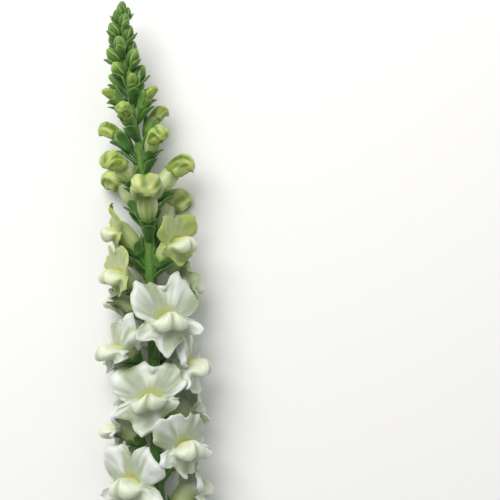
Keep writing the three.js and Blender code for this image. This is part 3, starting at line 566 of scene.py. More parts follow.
def separate(flowers):
    """Presses neighbours apart in rounds, and off the surface. The upper one gives way less."""
    down = np.array([0, 0, -1.0])
    for _ in range(SEPARATING_ROUNDS):
        for flower in flowers:
            squeeze_to(flower, down, 0)
        for a, first in enumerate(flowers):
            for second in flowers[a + 1:a + NEIGHBOURS]:
                if second.n < FIRST_COROLLA:
                    continue
                normal, high, low = parting_plane(first.cloud, second.cloud)
                if low - high >= NEIGHBOUR_GAP:
                    continue
                lead = 0.5 + UPPER_LEAD * (first.frame.out[2] - second.frame.out[2])
                parting = mix(low, high, lead)
                squeeze_to(first, normal, parting - NEIGHBOUR_GAP / 2)
                squeeze_to(second, -normal, -parting - NEIGHBOUR_GAP / 2)
    for flower in flowers:
        squeeze_to(flower, down, 0)


def grow_flowers():
    """All flowers, with what presses each one."""
    flowers = [Flower(n) for n in range(FLOWERS)]
    for flower in flowers:
        solids = [solid_bract(flower)]
        if flower.n < FIRST_COROLLA:
            solids.append(solid_green_bud(flower))
        else:
            solids.append(solid_calyx(flower))
            solids.append((solid_open_corolla if flower.opened else solid_closed_corolla)(flower))
        cloud = np.vstack(solids)
        away = (cloud - flower.frame.origin) @ flower.frame.out
        flower.cloud = cloud[away > 2 * ROOTED]
    separate([flower for flower in flowers if len(flower.cloud)])
    return flowers


# ---- making meshes


def srgb(r, g, b):
    """Linear colour of an sRGB colour given from 0 to 255."""
    c = np.array([r, g, b], float) / 255
    return np.where(c <= 0.04045, c / 12.92, ((c + 0.055) / 1.055) ** 2.4)


def blend(colour, *layers):
    """Colours under layers, each a colour and the share from 0 to 1 to which it covers them."""
    for layer, share in layers:
        share = np.clip(np.asarray(share, float), 0, 1)[..., None]
        colour = colour * (1 - share) + layer * share
    return colour


class Skin:
    """Points with their colours and faces, gathered for one mesh of closed surfaces."""

    def __init__(self):
        self.points, self.colours, self.lines, self.quads, self.tris = [], [], [], [], []
        self.count = 0

    def add(self, points, colours, lines):
        """Adds points and returns the number of the first."""
        first = self.count
        self.points.append(points)
        self.colours.append(np.broadcast_to(colours, points.shape))
        self.lines.append(np.broadcast_to(lines, len(points)))
        self.count += len(points)
        return first

    def sheet(self, grid, colours, lines=0.0):
        """Rings of points, each joined to the next. Lines counts veins round the sheet."""
        rows, columns = grid.shape[:2]
        colours = np.broadcast_to(colours, grid.shape).reshape(-1, 3)
        lines = np.broadcast_to(lines, grid.shape[:2]).reshape(-1)
        first = self.add(grid.reshape(-1, 3), colours, lines)
        index = first + np.arange(rows * columns).reshape(rows, columns)
        for ring, following in zip(index[:-1], index[1:]):
            self.join(ring, following)
        return index

    def join(self, ring, following):
        """Quads between two rings of point numbers."""
        after = np.roll(ring, -1)
        self.quads.append(np.stack([ring, after, np.roll(following, -1), following], -1))

    def cap(self, ring, pole, colour, last=False):
        """Closes a sheet's first or last ring of point numbers on a pole."""
        first = self.add(np.reshape(pole, (1, 3)), colour, 0.0)
        tris = np.stack([np.full(len(ring), first), np.roll(ring, -1), ring], -1)
        self.tris.append(tris[:, ::-1] if last else tris)

    def loft(self, grid, colours, lines, first, last):
        """Sheet whose ends are closed, each on a pole given as its point and colour."""
        index = self.sheet(grid, colours, lines)
        self.cap(index[-1], *last, last=True)
        self.cap(index[0], *first)

    def spikes(self, roots, tips, radius, colour):
        """Thin three-sided hairs."""
        forward = unit(tips - roots)
        helper = np.where(abs(forward[:, 2:]) < 0.7, (0, 0, 1.0), (1.0, 0, 0))
        u = unit(np.cross(forward, helper))
        v = np.cross(forward, u)
        corners = [roots + radius * (math.cos(a) * u + math.sin(a) * v) for a in turns(3)]
        first = self.add(np.concatenate([*corners, tips]), colour, 0.0)
        number = first + np.arange(4 * len(roots)).reshape(4, -1)
        for face in ((0, 1, 3), (1, 2, 3), (2, 0, 3), (2, 1, 0)):
            self.tris.append(number[list(face)].T)

    def inside_out(self, points):
        """Whether the faces enclose a negative volume."""
        total = 0.0
        for faces in self.quads + self.tris:
            for k in range(1, faces.shape[1] - 1):
                a, b, c = (points[faces[:, j]] for j in (0, k, k + 1))
                total += np.einsum("ij,ij->", a, np.cross(b, c))
        return total < 0

    def mesh(self, name):
        """Blender mesh with a tint and a line count at each point."""
        points = np.concatenate(self.points)
        points[:, 2] = np.maximum(points[:, 2], FLOOR_CLEAR)
        order = -1 if self.inside_out(points) else 1
        faces = [part[:, ::order] for part in self.quads + self.tris]
        sizes = np.concatenate([np.full(len(part), part.shape[1]) for part in faces])
        loops = np.concatenate([part.reshape(-1) for part in faces])
        starts = np.concatenate([[0], np.cumsum(sizes)[:-1]])
        mesh = bpy.data.meshes.new(name)
        mesh.vertices.add(len(points))
        mesh.vertices.foreach_set("co", (points * MM).astype(np.float32).reshape(-1))
        mesh.loops.add(len(loops))
        mesh.loops.foreach_set("vertex_index", loops.astype(np.int32))
        mesh.polygons.add(len(sizes))
        mesh.polygons.foreach_set("loop_start", starts.astype(np.int32))
        mesh.polygons.foreach_set("use_smooth", np.ones(len(sizes), bool))
        colours = np.clip(np.concatenate(self.colours), 0, 1)
        rgba = np.concatenate([colours, np.ones((len(colours), 1))], 1)
        tint = mesh.attributes.new("tint", "FLOAT_COLOR", "POINT")
        tint.data.foreach_set("color", rgba.astype(np.float32).reshape(-1))
        line = mesh.attributes.new("line", "FLOAT", "POINT")
        line.data.foreach_set("value", np.concatenate(self.lines).astype(np.float32))
        mesh.update()
        mesh.validate()
        return mesh

    def make(self, name, material, nodes, slot):
        """Makes the Blender object, which rides on the root body and stands for its nodes."""
        mesh = self.mesh(name)
        mesh.materials.append(material)
        piece = bpy.data.objects.new(name, mesh)
        bpy.context.scene.collection.objects.link(piece)
        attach(piece, "root")
        if nodes:
            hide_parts(*nodes)


# ---- materials


def fill(node, inputs):
    """Sets a shader node's inputs to values, or links other nodes' outputs to them."""
    for name, value in inputs.items():
        if isinstance(value, bpy.types.NodeSocket):
            node.id_data.links.new(value, node.inputs[name])
        else:
            node.inputs[name].default_value = value


def new_material(name, inputs):
    """Material whose Principled shader has the given inputs, and its node tree."""
    material = bpy.data.materials.new(name)
    material.use_nodes = True
    fill(material.node_tree.nodes["Principled BSDF"], inputs)
    return material, material.node_tree


VEIN_TINT = (0.72, 0.84, 0.62, 1)


def living_material(name, roughness, subsurface, sheen, veins, mottle, bump, specular=0.4):
    """Living surface: the tint worked out for each point, with veins, mottling and fine relief."""
    material, tree = new_material(name, {
        "Subsurface Weight": subsurface, "Subsurface Radius": (0.9, 1.0, 0.55),
        "Subsurface Scale": 1.1 * MM, "Sheen Weight": sheen, "Sheen Roughness": 0.5,
        "Specular IOR Level": specular})

    def add(kind, output, inputs, **settings):
        node = tree.nodes.new("ShaderNode" + kind)
        for setting, value in settings.items():
            setattr(node, setting, value)
        fill(node, inputs)
        return node.outputs[output]

    def around_one(noise, amount):
        return add("MapRange", "Result", {"Value": noise, "From Min": 0.3, "From Max": 0.7,
                                          "To Min": 1 - amount, "To Max": 1 + amount})

    tint = add("Attribute", "Color", {}, attribute_name="tint")
    line = add("Attribute", "Fac", {}, attribute_name="line")
    place = add("TexCoord", "Object", {})
    broad = add("TexNoise", "Fac", {"Vector": place, "Scale": 180, "Detail": 4})
    fine = add("TexNoise", "Fac", {"Vector": place, "Scale": 2600, "Detail": 3})

    wander = add("Math", 0, {0: broad, 1: 1.3, 2: line}, operation="MULTIPLY_ADD")
    wave = add("Math", 0, {0: wander}, operation="SINE")
    vein = add("MapRange", "Result", {"Value": wave, "From Min": 0.55, "From Max": 1})
    share = add("Math", 0, {0: vein, 1: veins}, operation="MULTIPLY")
    veined = add("MixRGB", "Color", {"Fac": share, "Color1": tint, "Color2": VEIN_TINT},
                 blend_type="MULTIPLY")
    patches = add("Math", 0, {0: around_one(broad, mottle), 1: around_one(fine, 0.5 * mottle)},
                  operation="MULTIPLY")
    colour = add("VectorMath", "Vector", {0: veined, "Scale": patches}, operation="SCALE")
    gloss = add("MapRange", "Result",
                {"Value": fine, "To Min": roughness - 0.1, "To Max": roughness + 0.1})
    height = add("Math", 0, {0: vein, 1: 1.5, 2: fine}, operation="MULTIPLY_ADD")
    relief = add("Bump", "Normal", {"Strength": bump, "Distance": 0.12 * MM, "Height": height})
    fill(tree.nodes["Principled BSDF"],
         {"Base Color": colour, "Roughness": gloss, "Normal": relief})
    return material


PETAL = living_material("petal", roughness=0.45, subsurface=0.26, sheen=0.1, veins=0.22,
                        mottle=0.045, bump=0.4, specular=0.5)
GREEN = living_material("green_skin", roughness=0.52, subsurface=0.1, sheen=0.12, veins=0.14,
                        mottle=0.15, bump=0.5)
LEAF = living_material("leaf_skin", roughness=0.45, subsurface=0.1, sheen=0.12, veins=0.34,
                       mottle=0.12, bump=0.6)

# ---- colours

STEM_LOW = srgb(78, 122, 52)
STEM_HIGH = srgb(104, 146, 56)
CALYX_DARK = srgb(54, 104, 36)
CALYX_PALE = srgb(116, 164, 76)
TIP_GREEN = srgb(58, 102, 32)
TIP_PALE = srgb(146, 184, 88)
# Painted shadow beside the overlapping edges of a young bud's sepals.
TIP_OVERLAP_SHADOW = srgb(34, 66, 18)
LIME = srgb(162, 184, 76)
LIME_PALE = srgb(170, 187, 94)
HOOD_GREEN = srgb(112, 142, 42)
# Painted shade of the hood's green: in its seams and folds, and as shadow under its ledge.
HOOD_PAINTED_SHADE = srgb(86, 114, 24)
HOOD_LIME = srgb(200, 216, 114)
HOOD_CREAM = srgb(202, 208, 142)
YOUNG_TUBE = srgb(138, 164, 46)
TUBE_GREEN = srgb(188, 208, 124)
TUBE_PALE = srgb(220, 228, 186)
WHITE = srgb(227, 233, 225)
# Greener tint of the petals' inner parts, also used as painted shade where their waves fall back.
INNER_TINT_AND_SHADE = srgb(170, 181, 162)
CREAM = srgb(232, 236, 216)
THROAT_GREEN = srgb(188, 200, 112)
# Green tint of the petals' backs, and painted shade in the folds, creases and grooves of the petals.
GREEN_TINT_AND_FOLD_SHADE = srgb(154, 172, 118)
YELLOW = srgb(230, 208, 78)
LEAF_GREEN = srgb(60, 106, 44)
LEAF_PALE = srgb(110, 150, 78)
CUT_GREEN = srgb(176, 194, 120)
VESSEL_GREEN = srgb(132, 164, 84)
PITH = srgb(212, 218, 178)
HAIR = srgb(170, 196, 130)

# ---- opened corollas

FINE_COLUMNS = 104
TUBE_ROWS = 18
FLARE_ROWS = 8
BACK_ROWS = 16
FRONT_ROWS = 52
FINE_PETAL = 0.5
# Petals are thicker by this at the throat.
THROAT_PETAL = 0.35
BOTTOM = 270


def angle_from(turn, centre):
    """Signed angle in degrees from a direction round the mouth, for turns in radians."""
    return (np.degrees(turn) - centre + 180) % 360 - 180


class Petals:
    """The petals of an opened corolla, in fine columns round its mouth."""

    def __init__(self, flower):
        self.flower = flower
        self.lips = Lips(flower)
        self.turn = turns(FINE_COLUMNS)
        self.side = abs(angle_from(self.turn, BOTTOM))
        self.upper = smooth(0.5 + 1.4 * np.sin(self.turn))
        self.lower = 1 - self.upper
        self.young = 1 - flower.openness
        self.spread = mix(0.5, 1, flower.openness)
        self.find_lines()
        self.find_lobes()
        self.find_frills()

    def find_lines(self):
        """Where the petal is, and which way its back lies, at samples along each column."""
        lips = self.lips
        position = LIP_COLUMNS * np.arange(FINE_COLUMNS) / FINE_COLUMNS
        alpha = lips.path[..., 3].copy()
        alpha[0] = alpha[1]
        toward = np.stack([np.cos(alpha) * np.cos(lips.tilt) * lips.sign,
                           np.cos(alpha) * np.sin(lips.tilt), -np.sin(alpha)], -1)

        def refine(rows):
            return spline(rows.transpose(1, 0, 2), position, closed=True).transpose(1, 0, 2)

        self.local, self.toward = refine(lips.path[..., :3]), unit(refine(toward))

    def find_lobes(self):
        """Two lobes above, three below: the notches, and the way from a lobe's middle to its side."""
        seed = self.flower.n
        parts = [90 + 3 * draw(seed, 101), 182, 241 + 4 * draw(seed, 103), 299 + 4 * draw(seed, 102), 358]
        depths = [5 + 2.5 * abs(draw(seed, 104)), 1.6, 3.4, 3.4, 1.6]
        notch = sum(depth * bell(angle_from(self.turn, part), 9) for part, depth in zip(parts, depths))
        self.notch = notch * mix(0.4, 1, self.flower.openness)
        self.lobe = np.zeros(FINE_COLUMNS)
        for start, end in zip(parts, parts[1:] + [parts[0] + 360]):
            u = 2 * ((np.degrees(self.turn) - start) % 360) / ((end - start) % 360) - 1
            self.lobe = np.where(abs(u) <= 1, abs(u), self.lobe)

    def find_frills(self):
        """Waves of the margin, pleats towards it and the creases between pleats."""
        seed = self.flower.n
        around = self.turn / math.tau
        self.frill = ripple(seed, around, 4)
        self.fine_frill = ripple(seed + 7, 3 * self.turn / math.tau)
        self.frill_across = ripple(seed + 300, around, 4)
        pleats = ripple(seed + 500, 2 * self.turn / math.tau)
        self.pleats = pleats * (0.7 + 0.5 * ripple(seed + 510, around, 1))
        self.creases = np.clip(1 - abs(self.pleats) / 0.4, 0, 1) * mix(1, 0.4, self.upper)

    def reach(self, v):
        """How far the margin is drawn out, or cut back where lobes part, in millimetres."""
        waves = (0.5 * self.frill_across + 0.3 * self.fine_frill) * ramp(v, 0.58, 0.42)
        cuts = (self.notch + 1.3 * bell(self.side, 8)) * ramp(v, 0.62, 0.38)
        return (waves - cuts) * self.spread

    def lift(self, v):
        """How far the petal stands off its line, in millimetres."""
        turn, side, upper, seed = self.turn, self.side, self.upper, self.flower.n
        margin = ramp(v, 0.58, 0.42)
        rolled = ramp(v, 0.84, 0.16)
        crinkle = np.sin(20 * v + 3 * np.sin(3 * turn + seed) + seed) * np.sin(8 * turn + 5 * v + 2 * seed)
        crinkle = crinkle + 0.7 * np.sin(11 * v - 6 * turn + 1.7 * seed) * np.cos(5 * turn + 3 * seed)
        lift = (1.9 * self.frill * margin ** 1.3 + mix(0.8, 0.6, upper) * self.fine_frill * rolled
                + mix(0.36, 0.16, upper) * crinkle * ramp(v, 0.3, 0.3)
                + (0.45 * self.pleats - 0.5 * self.creases) * ramp(v, 0.4, 0.35)
                - mix(2.6, 2.1, upper) * self.lobe ** 2 * margin - 0.9 * rolled ** 2) * self.spread
        # The palate: a dome of two humps with a groove between them, over a deeper fold below.
        hump = ramp(v, 0.08, 0.16) * (1 - ramp(v, 0.4, 0.12))
        fold = ramp(v, 0.36, 0.14) * (1 - ramp(v, 0.8, 0.2))
        lift = lift + hump * (2.0 * bell(side - 26, 24) - 0.7 * bell(side, 8))
        return lift - fold * 2.3 * bell(side, 15) - 0.65 * bell(v - 0.53, 0.07) * bell(side, 48)

    def rows(self, v, back):
        """Rows of petal at v from the mouth, 0, to the margin, 1, moved back by a thickness."""
        v = np.asarray(v, float)[:, None]
        last = 2 * LIP_STEPS
        step = np.clip(v[:, 0], 0, 1) * last
        before, after = (spline(self.local, np.clip(step + shift, 0, last)) for shift in (-0.25, 0.25))
        thick = back * mix(1, 0.62, ramp(v, 0.58, 0.42))
        points = (spline(self.local, step) + unit(after - before) * self.reach(v)[..., None]
                  + unit(spline(self.toward, step)) * (thick - self.lift(v))[..., None])
        return self.lips.to_world(*np.moveaxis(points, -1, 0))

    def tube(self, length):
        """Rings of the softly ribbed tube."""
        length = np.asarray(length, float)[:, None]
        ribs = 1 + 0.018 * np.cos(5 * self.turn + 0.6) * smooth(length / 6)
        return self.flower.round(length, self.flower.tube_radius(length) * ribs, self.turn)

    def grid(self, front_v):
        """All rings from the tube's base over the lobes' backs and margin to the closed mouth."""
        full = self.flower.full_length
        keys = np.concatenate([self.tube([0.78 * full, TUBE_END * full]),
                               self.rows([0.5, 0.62], FINE_PETAL + THROAT_PETAL)])
        back_v = np.linspace(0.5, 0.985, BACK_ROWS)
        back = FINE_PETAL + THROAT_PETAL * (1 - ramp(back_v, 0.5, 0.3))
        grid = self.flower.squeezed(np.concatenate([
            self.tube(mix(self.flower.belly, TUBE_END * full, np.linspace(0, 1, TUBE_ROWS))),
            spline(keys, 1 + np.arange(1, FLARE_ROWS) / FLARE_ROWS),
            self.rows(back_v, back[:, None]), self.rows([1], 0.3), self.rows(front_v, 0)]))
        # The mouth is closed: its upper and lower lines are one.
        grid[-1] = 0.5 * (grid[-1] + np.roll(grid[-1][::-1], 1, axis=0))
        return grid

    def outer_colours(self, white):
        """Tube and backs: green at the tube's base, white lobes tinted green, with painted shade in their
        folds.
        """
        outer = np.linspace(0, 1, TUBE_ROWS + FLARE_ROWS - 1)[:, None]
        tube = blend(TUBE_GREEN, (TUBE_PALE, outer + 0.15 * np.sin(5 * self.turn)),
                     (white, ramp(outer, 0.55, 0.45) * mix(0.9, 0.5, self.young)),
                     (LIME, 0.45 * self.young))
        # The backs are tinted green, more in the folds of the wavy margin: partly tint, partly painted
        # shade.
        back = blend(white, (GREEN_TINT_AND_FOLD_SHADE, 0.3 + 0.25 * np.clip(self.frill, 0, 1)))
        return np.concatenate([tube, np.broadcast_to(back, (BACK_ROWS + 1, *back.shape))])

    def front_colours(self, white, v):
        """Fronts: white lobes with painted shade in their folds and below the palate, a green throat and a
        palate with a yellow top.
        """
        turn, side, upper, lower = self.turn, self.side, self.upper, self.lower
        # Greener and darker towards the throat and where the margin's waves and pleats fall back: partly
        # the petals' own tint, partly painted shade.
        inner = 1 - smooth((v - 0.5 + 0.2 * np.clip(self.frill, -1, 1) + 0.1 * self.pleats) / 0.4)
        throat = (1 - ramp(v, 0.2, 0.38)) * mix(0.3, 0.66, upper)
        # Painted shade: darker in the valleys between waves and pleats, in the creases, and on each lobe's
        # flanks by its notches.
        valley = (-0.9 * self.frill * ramp(v, 0.5, 0.4)
                  - (0.5 * self.pleats - 0.6 * self.creases) * ramp(v, 0.4, 0.35))
        flank = np.clip(self.lobe - 0.55, 0, 1) * ramp(v, 0.25, 0.3)
        folds = np.clip(0.6 * np.clip(valley, 0, 1) + 0.8 * flank, 0, 0.75)
        groove = bell(side, 9) * ramp(v, 0.12, 0.1) * (1 - ramp(v, 0.85, 0.15))
        return blend(
            white,
            (INNER_TINT_AND_SHADE, inner * mix(0.5, 0.95, upper) * (1 - self.young)),
            (THROAT_GREEN, throat * (0.9 + 0.1 * np.cos(14 * turn))),
            (YELLOW, 0.85 * lower * bell(side, 58) * bell(v - 0.09, 0.075)),
            (YELLOW, 0.3 * upper * bell(angle_from(turn, 90), 60) * bell(v, 0.12)),
            (CREAM, 0.85 * lower * bell(v - 0.3, 0.16)),
            # Painted shadow along the fold below the palate, then painted shade in the folds and in the
            # palate's groove.
            (GREEN_TINT_AND_FOLD_SHADE, 0.42 * lower * bell(v - 0.54, 0.06) * bell(side, 50)),
            (GREEN_TINT_AND_FOLD_SHADE, folds * (1 - 0.6 * ramp(v, 0.9, 0.1))),
            (GREEN_TINT_AND_FOLD_SHADE, 0.6 * lower * groove),
            (LIME_PALE, 0.6 * self.young * ramp(v, 0.8, 0.2)))


def fine_open_corolla(flower):
    """Opened corolla: a tube and five ruffled lobes round a mouth that its palate closes."""
    petals = Petals(flower)
    front_v = 1 - np.linspace(0.015, 1, FRONT_ROWS) ** 1.05
    front_v[-1] = 0
    white = blend(WHITE, (LIME_PALE, 1.2 * petals.young))
    colours = [petals.outer_colours(white), petals.front_colours(white, front_v[:, None])]
    skin = Skin()
    index = skin.sheet(petals.grid(front_v), np.concatenate(colours), petals.turn * 14)
    skin.cap(index[0], flower.squeezed(flower.on_line(COROLLA_START)), TUBE_GREEN)
    return skin


# ---- closed corollas

CLOSED_COLUMNS = 64
CLOSED_TUBE_ROWS = 22
CLOSED_CAP_ROWS = 34
# Width of the hood over its length, at its front, where it stands over a ledge, and at its back.
LEDGE_OUTLINE = [(0, 0), (0.05, 0.8), (0.14, 0.99), (0.36, 0.98), (0.6, 0.9), (0.8, 0.71),
                 (0.92, 0.46), (0.98, 0.25), (1, 0)]
BACK_OUTLINE = [(0, 0), (0.15, 0.42), (0.35, 0.86), (0.55, 1), (0.75, 0.86), (0.9, 0.54),
                (0.98, 0.26), (1, 0)]


class Hood:
    """Fine shape of a closed corolla: a slender tube under a hood of folded lobes."""

    def __init__(self, flower):
        self.flower = flower
        self.cap = at(CAP_RADIUS, flower.n)
        self.hooded = hooding(flower)
        self.turn = turns(CLOSED_COLUMNS)
        self.front = angle_from(self.turn, BOTTOM)
        self.ledge = smooth(0.55 - 0.8 * np.sin(self.turn))
        # The hood's margin: an arch over the front, low at both sides of it.
        self.rim = CAP_PROFILE[0][0] + self.hooded * (
            0.085 * bell(self.front, 26) - 0.03 * bell(abs(self.front) - 62, 26)
            - 0.05 * (1 - self.ledge))
        self.rim = self.rim + 0.008 * self.hooded * ripple(flower.n + 60, self.turn / math.tau)
        self.q = np.linspace(0, 1, CLOSED_TUBE_ROWS)[:, None]
        self.p = np.linspace(0, 1, CLOSED_CAP_ROWS)[:, None]

    def tube(self):
        """Rings of the tube up to the rim, ribbed and pinched below the ledge."""
        flower, q = self.flower, self.q
        length = mix(flower.belly, self.rim * flower.full_length, q)
        pinch = 1 - 0.1 * self.hooded * self.ledge * ramp(q, 0.7, 0.3)
        ribs = (1 + 0.03 * np.cos(4 * self.turn + draw(flower.n, 140))
                + 0.03 * bell(abs(self.front) - 24, 12) * q)
        self.start = flower.tube_radius(self.rim * flower.full_length) * pinch[-1] / self.cap
        return flower.round(length, flower.tube_radius(length) * pinch * ribs, self.turn)

    def width(self):
        """Width of the hood in shares of its radius. A young bud has no hood but a blunt tip."""
        p = self.p
        width = mix(at(BACK_OUTLINE, p), at(LEDGE_OUTLINE, p), self.ledge)
        width = np.where(p < 0.4, self.start + (1 - self.start) * width, width)
        return mix(self.start * np.sqrt(np.clip(1 - p ** 2, 0, 1)), width, self.hooded)

    def find_relief(self, x, y):
        """Crumples that run over the hood's far end, folds, and seams between the lobes."""
        n, p, front = self.flower.n, self.p, self.front
        crumple = np.sin(4.4 * x + 1.9 * y + 3 * p + 1.3 * n) * np.cos(3.7 * y - 1.7 * x + 2 * p + 0.7 * n)
        self.crumple = crumple + (0.5 * np.sin(8.1 * x - 3 * y + 2 * n)
                                  * np.sin(6.9 * y + 2.2 * x + 4 * p + n))
        near = 1 - ramp(p, 0.5, 0.3)
        folds = 0.04 * ripple(n + 40, self.turn / math.tau + 0.05 * p) * near
        folds = folds + 0.065 * self.crumple
        folds = folds + 0.12 * bell(abs(front) - 82, 24) * bell(p - 0.12, 0.11)
        seams = (0.16 * bell(front, 9) * (1 - ramp(p, 0.4, 0.3))
                 + (0.08 * bell(angle_from(self.turn, 90), 9) + 0.06 * bell(abs(front) - 70, 10)) * near)
        body = np.sin(math.pi * np.clip(p, 0, 1)) ** 0.7
        self.relief = (folds - seams) * body * mix(0.35, 1, self.hooded)

    def rings(self):
        """Rings of the hood from the rim to its far end, which hooks over the front."""
        p, turn, cap = self.p, self.turn, self.cap
        width = self.width()
        self.across, self.up = width * np.cos(turn), width * np.sin(turn)
        self.find_relief(self.across, self.up)
        hang = 0.03 * self.hooded * self.ledge * np.sin(math.pi * np.clip(p / 0.14, 0, 1))
        t = mix(self.rim, 1, 1 - (1 - p) ** 1.15) - hang
        stand = 0.09 * cap * self.hooded * self.crumple * ramp(p, 0.55, 0.35)
        wide = cap * width * (1 + self.relief)
        flat = mix(at(TUBE_RADIUS, self.flower.n), cap, CAP_DEPTH) / cap
        deep = wide * mix(1, flat, smooth(p / 0.1))
        hook = -CAP_HOOK * cap * self.hooded * ramp(p, 0.45, 0.55) ** 1.4
        return self.flower.section(t * self.flower.full_length + stand, wide * np.cos(turn),
                                   deep * np.sin(turn) + hook)

    def colours(self):
        """Streaked tube with painted shadow under the ledge, and a hood with painted light where it stands
        out and painted shade in its seams.
        """
        q, p, n = self.q, self.p, self.flower.n
        age = (n - FIRST_COROLLA) / (FIRST_OPENING - 1 - FIRST_COROLLA)
        streak = 0.5 + 0.5 * np.cos(9 * self.turn + draw(n, 142))
        tube = blend(YOUNG_TUBE, (TUBE_GREEN, mix(0.3, 0.85, age) * (0.25 + 0.75 * streak)),
                     (TUBE_PALE, 0.85 * age * smooth(q * 1.4) * (1 - 0.8 * bell(self.front, 50))),
                     # Painted shadow on the tube under the hood's ledge.
                     (HOOD_PAINTED_SHADE, 0.55 * self.hooded * self.ledge * ramp(q, 0.55, 0.45)))
        # Painted light and shade: the hood is lighter where its relief and crumples stand out and darker
        # in its seams and folds. It also grows paler towards its far end.
        light = (0.34 + 9 * self.relief + 0.3 * self.crumple * ramp(p, 0.6, 0.3)
                 + 0.3 * ramp(p, 0.1, 0.5))
        lit = mix(HOOD_GREEN, HOOD_LIME, 0.3 + 0.7 * age)
        lit = mix(lit, HOOD_CREAM, 0.7 * ramp(age, 0.75, 0.2))
        return np.concatenate([tube, blend(mix(HOOD_GREEN, HOOD_PAINTED_SHADE, 0.35), (lit, light))])

    def lines(self):
        """Veins that run along the tube and over the hood."""
        tube = np.broadcast_to(self.turn * 10, (CLOSED_TUBE_ROWS, CLOSED_COLUMNS))
        return np.concatenate([tube, 11 * self.across + 2 * np.sin(3 * self.up)])


def fine_closed_corolla(flower):
    """Closed corolla. The hood's last ring is one point, which its cap stands for."""
    hood = Hood(flower)
    grid = flower.squeezed(np.concatenate([hood.tube(), hood.rings()]))
    colours = hood.colours()
    skin = Skin()
    skin.loft(grid[:-1], colours[:-1], hood.lines()[:-1],
              (flower.squeezed(flower.on_line(COROLLA_START)), TUBE_GREEN),
              (grid[-1].mean(0), colours[-1, 0]))
    return skin


# ---- green pieces

CALYX_COLUMNS = 80
CALYX_ROWS = 16
CUP_ROWS = 7
SEPAL_EDGE = 0.16
# Calyxes before this flower are paler, as the tip is.
FIRST_DARK_CALYX = 24


def stalk_rows(flower, columns, radius, rows):
    """Rings from inside the stem to the start of the flower's middle line."""
    top = flower.round(np.zeros(columns), radius * 1.3, turns(columns, TOP))
    return mix(stalk_ring(flower, columns, radius), top, np.linspace(0, 1, rows)[:, None, None])


def fine_calyx(flower, skin):
    """Stalk, cup and five pointed sepals, whose edge is pale, in one surface out and back in."""
    n, belly = flower.n, flower.belly
    length, radius = at(CALYX_LENGTH, n), at(STALK_RADIUS, n)
    turn = turns(CALYX_COLUMNS, TOP)
    place = np.arange(CALYX_COLUMNS) / (CALYX_COLUMNS / CALYX_LOBES) + 0.5
    lobe = place % 1 - 0.5
    which = np.floor(place).astype(int) % CALYX_LOBES
    tips = length * (1 + 0.12 * np.array([draw(n, 20 + 2 * w) for w in which]))
    rim = mix(0.42 * length, tips, np.clip(1 - abs(2 * lobe) ** 2.1, 0, 1) ** 0.62)
    curl = np.array([1.4 + 0.6 * draw(n, 220 + w) for w in which])

    stalk = stalk_rows(flower, CALYX_COLUMNS, radius, 5)
    p = np.linspace(0, 1, CALYX_ROWS)[:, None]
    q = p[:CUP_ROWS] / p[CUP_ROWS - 1]
    base = belly * q
    full = flower.tube_radius(base) + CALYX_GAP + CALYX_THICKNESS
    cup = flower.round(base, mix(radius * 1.3, full, smooth(q)), turn)[1:]

    def wall(thick, share, keeled):
        at_length = mix(belly, rim, share)
        reach = (at_length - belly) / (tips - belly)
        keel = 0.28 * bell(lobe, 0.1) * np.sin(math.pi * np.clip(share, 0, 1)) * keeled
        hug = (flower.tube_radius(at_length) + CALYX_GAP + thick * mix(1, 0.7, reach)
               + curl * reach ** 2.5 + keel)
        return flower.round(at_length, hug, turn)

    outer = wall(CALYX_THICKNESS, p[1:], True)
    inner = wall(SEPAL_EDGE, p[::-1], False)
    grid = flower.squeezed(np.concatenate([stalk, cup, outer, inner]))
    edge = np.zeros(grid.shape[:2])
    first = len(stalk) + len(cup)
    margin = np.clip(2 * abs(lobe), 0, 1) ** 3
    edge[first:first + len(outer)] = np.maximum(margin * 0.8, ramp(p[1:], 0.75, 0.25))
    edge[first + len(outer):] = 0.5
    colours = blend(CALYX_DARK, (CALYX_PALE, 0.22 + 0.18 * draw(n, 230)), (CALYX_PALE, 0.75 * edge),
                    (TIP_PALE, 0.25 if n < FIRST_DARK_CALYX else 0))
    skin.loft(grid, colours, turn * 15, (flower.frame.place(*STALK_ROOT), CALYX_DARK),
              (flower.squeezed(flower.on_line(0.8)), CALYX_DARK))


BUD_COLUMNS = 60
BUD_ROWS = 26
BUD_OUTLINE = [(0, 0.34), (0.1, 0.6), (0.25, 0.86), (0.4, 1), (0.58, 0.98), (0.74, 0.84),
               (0.88, 0.55), (0.96, 0.28), (1, 0)]


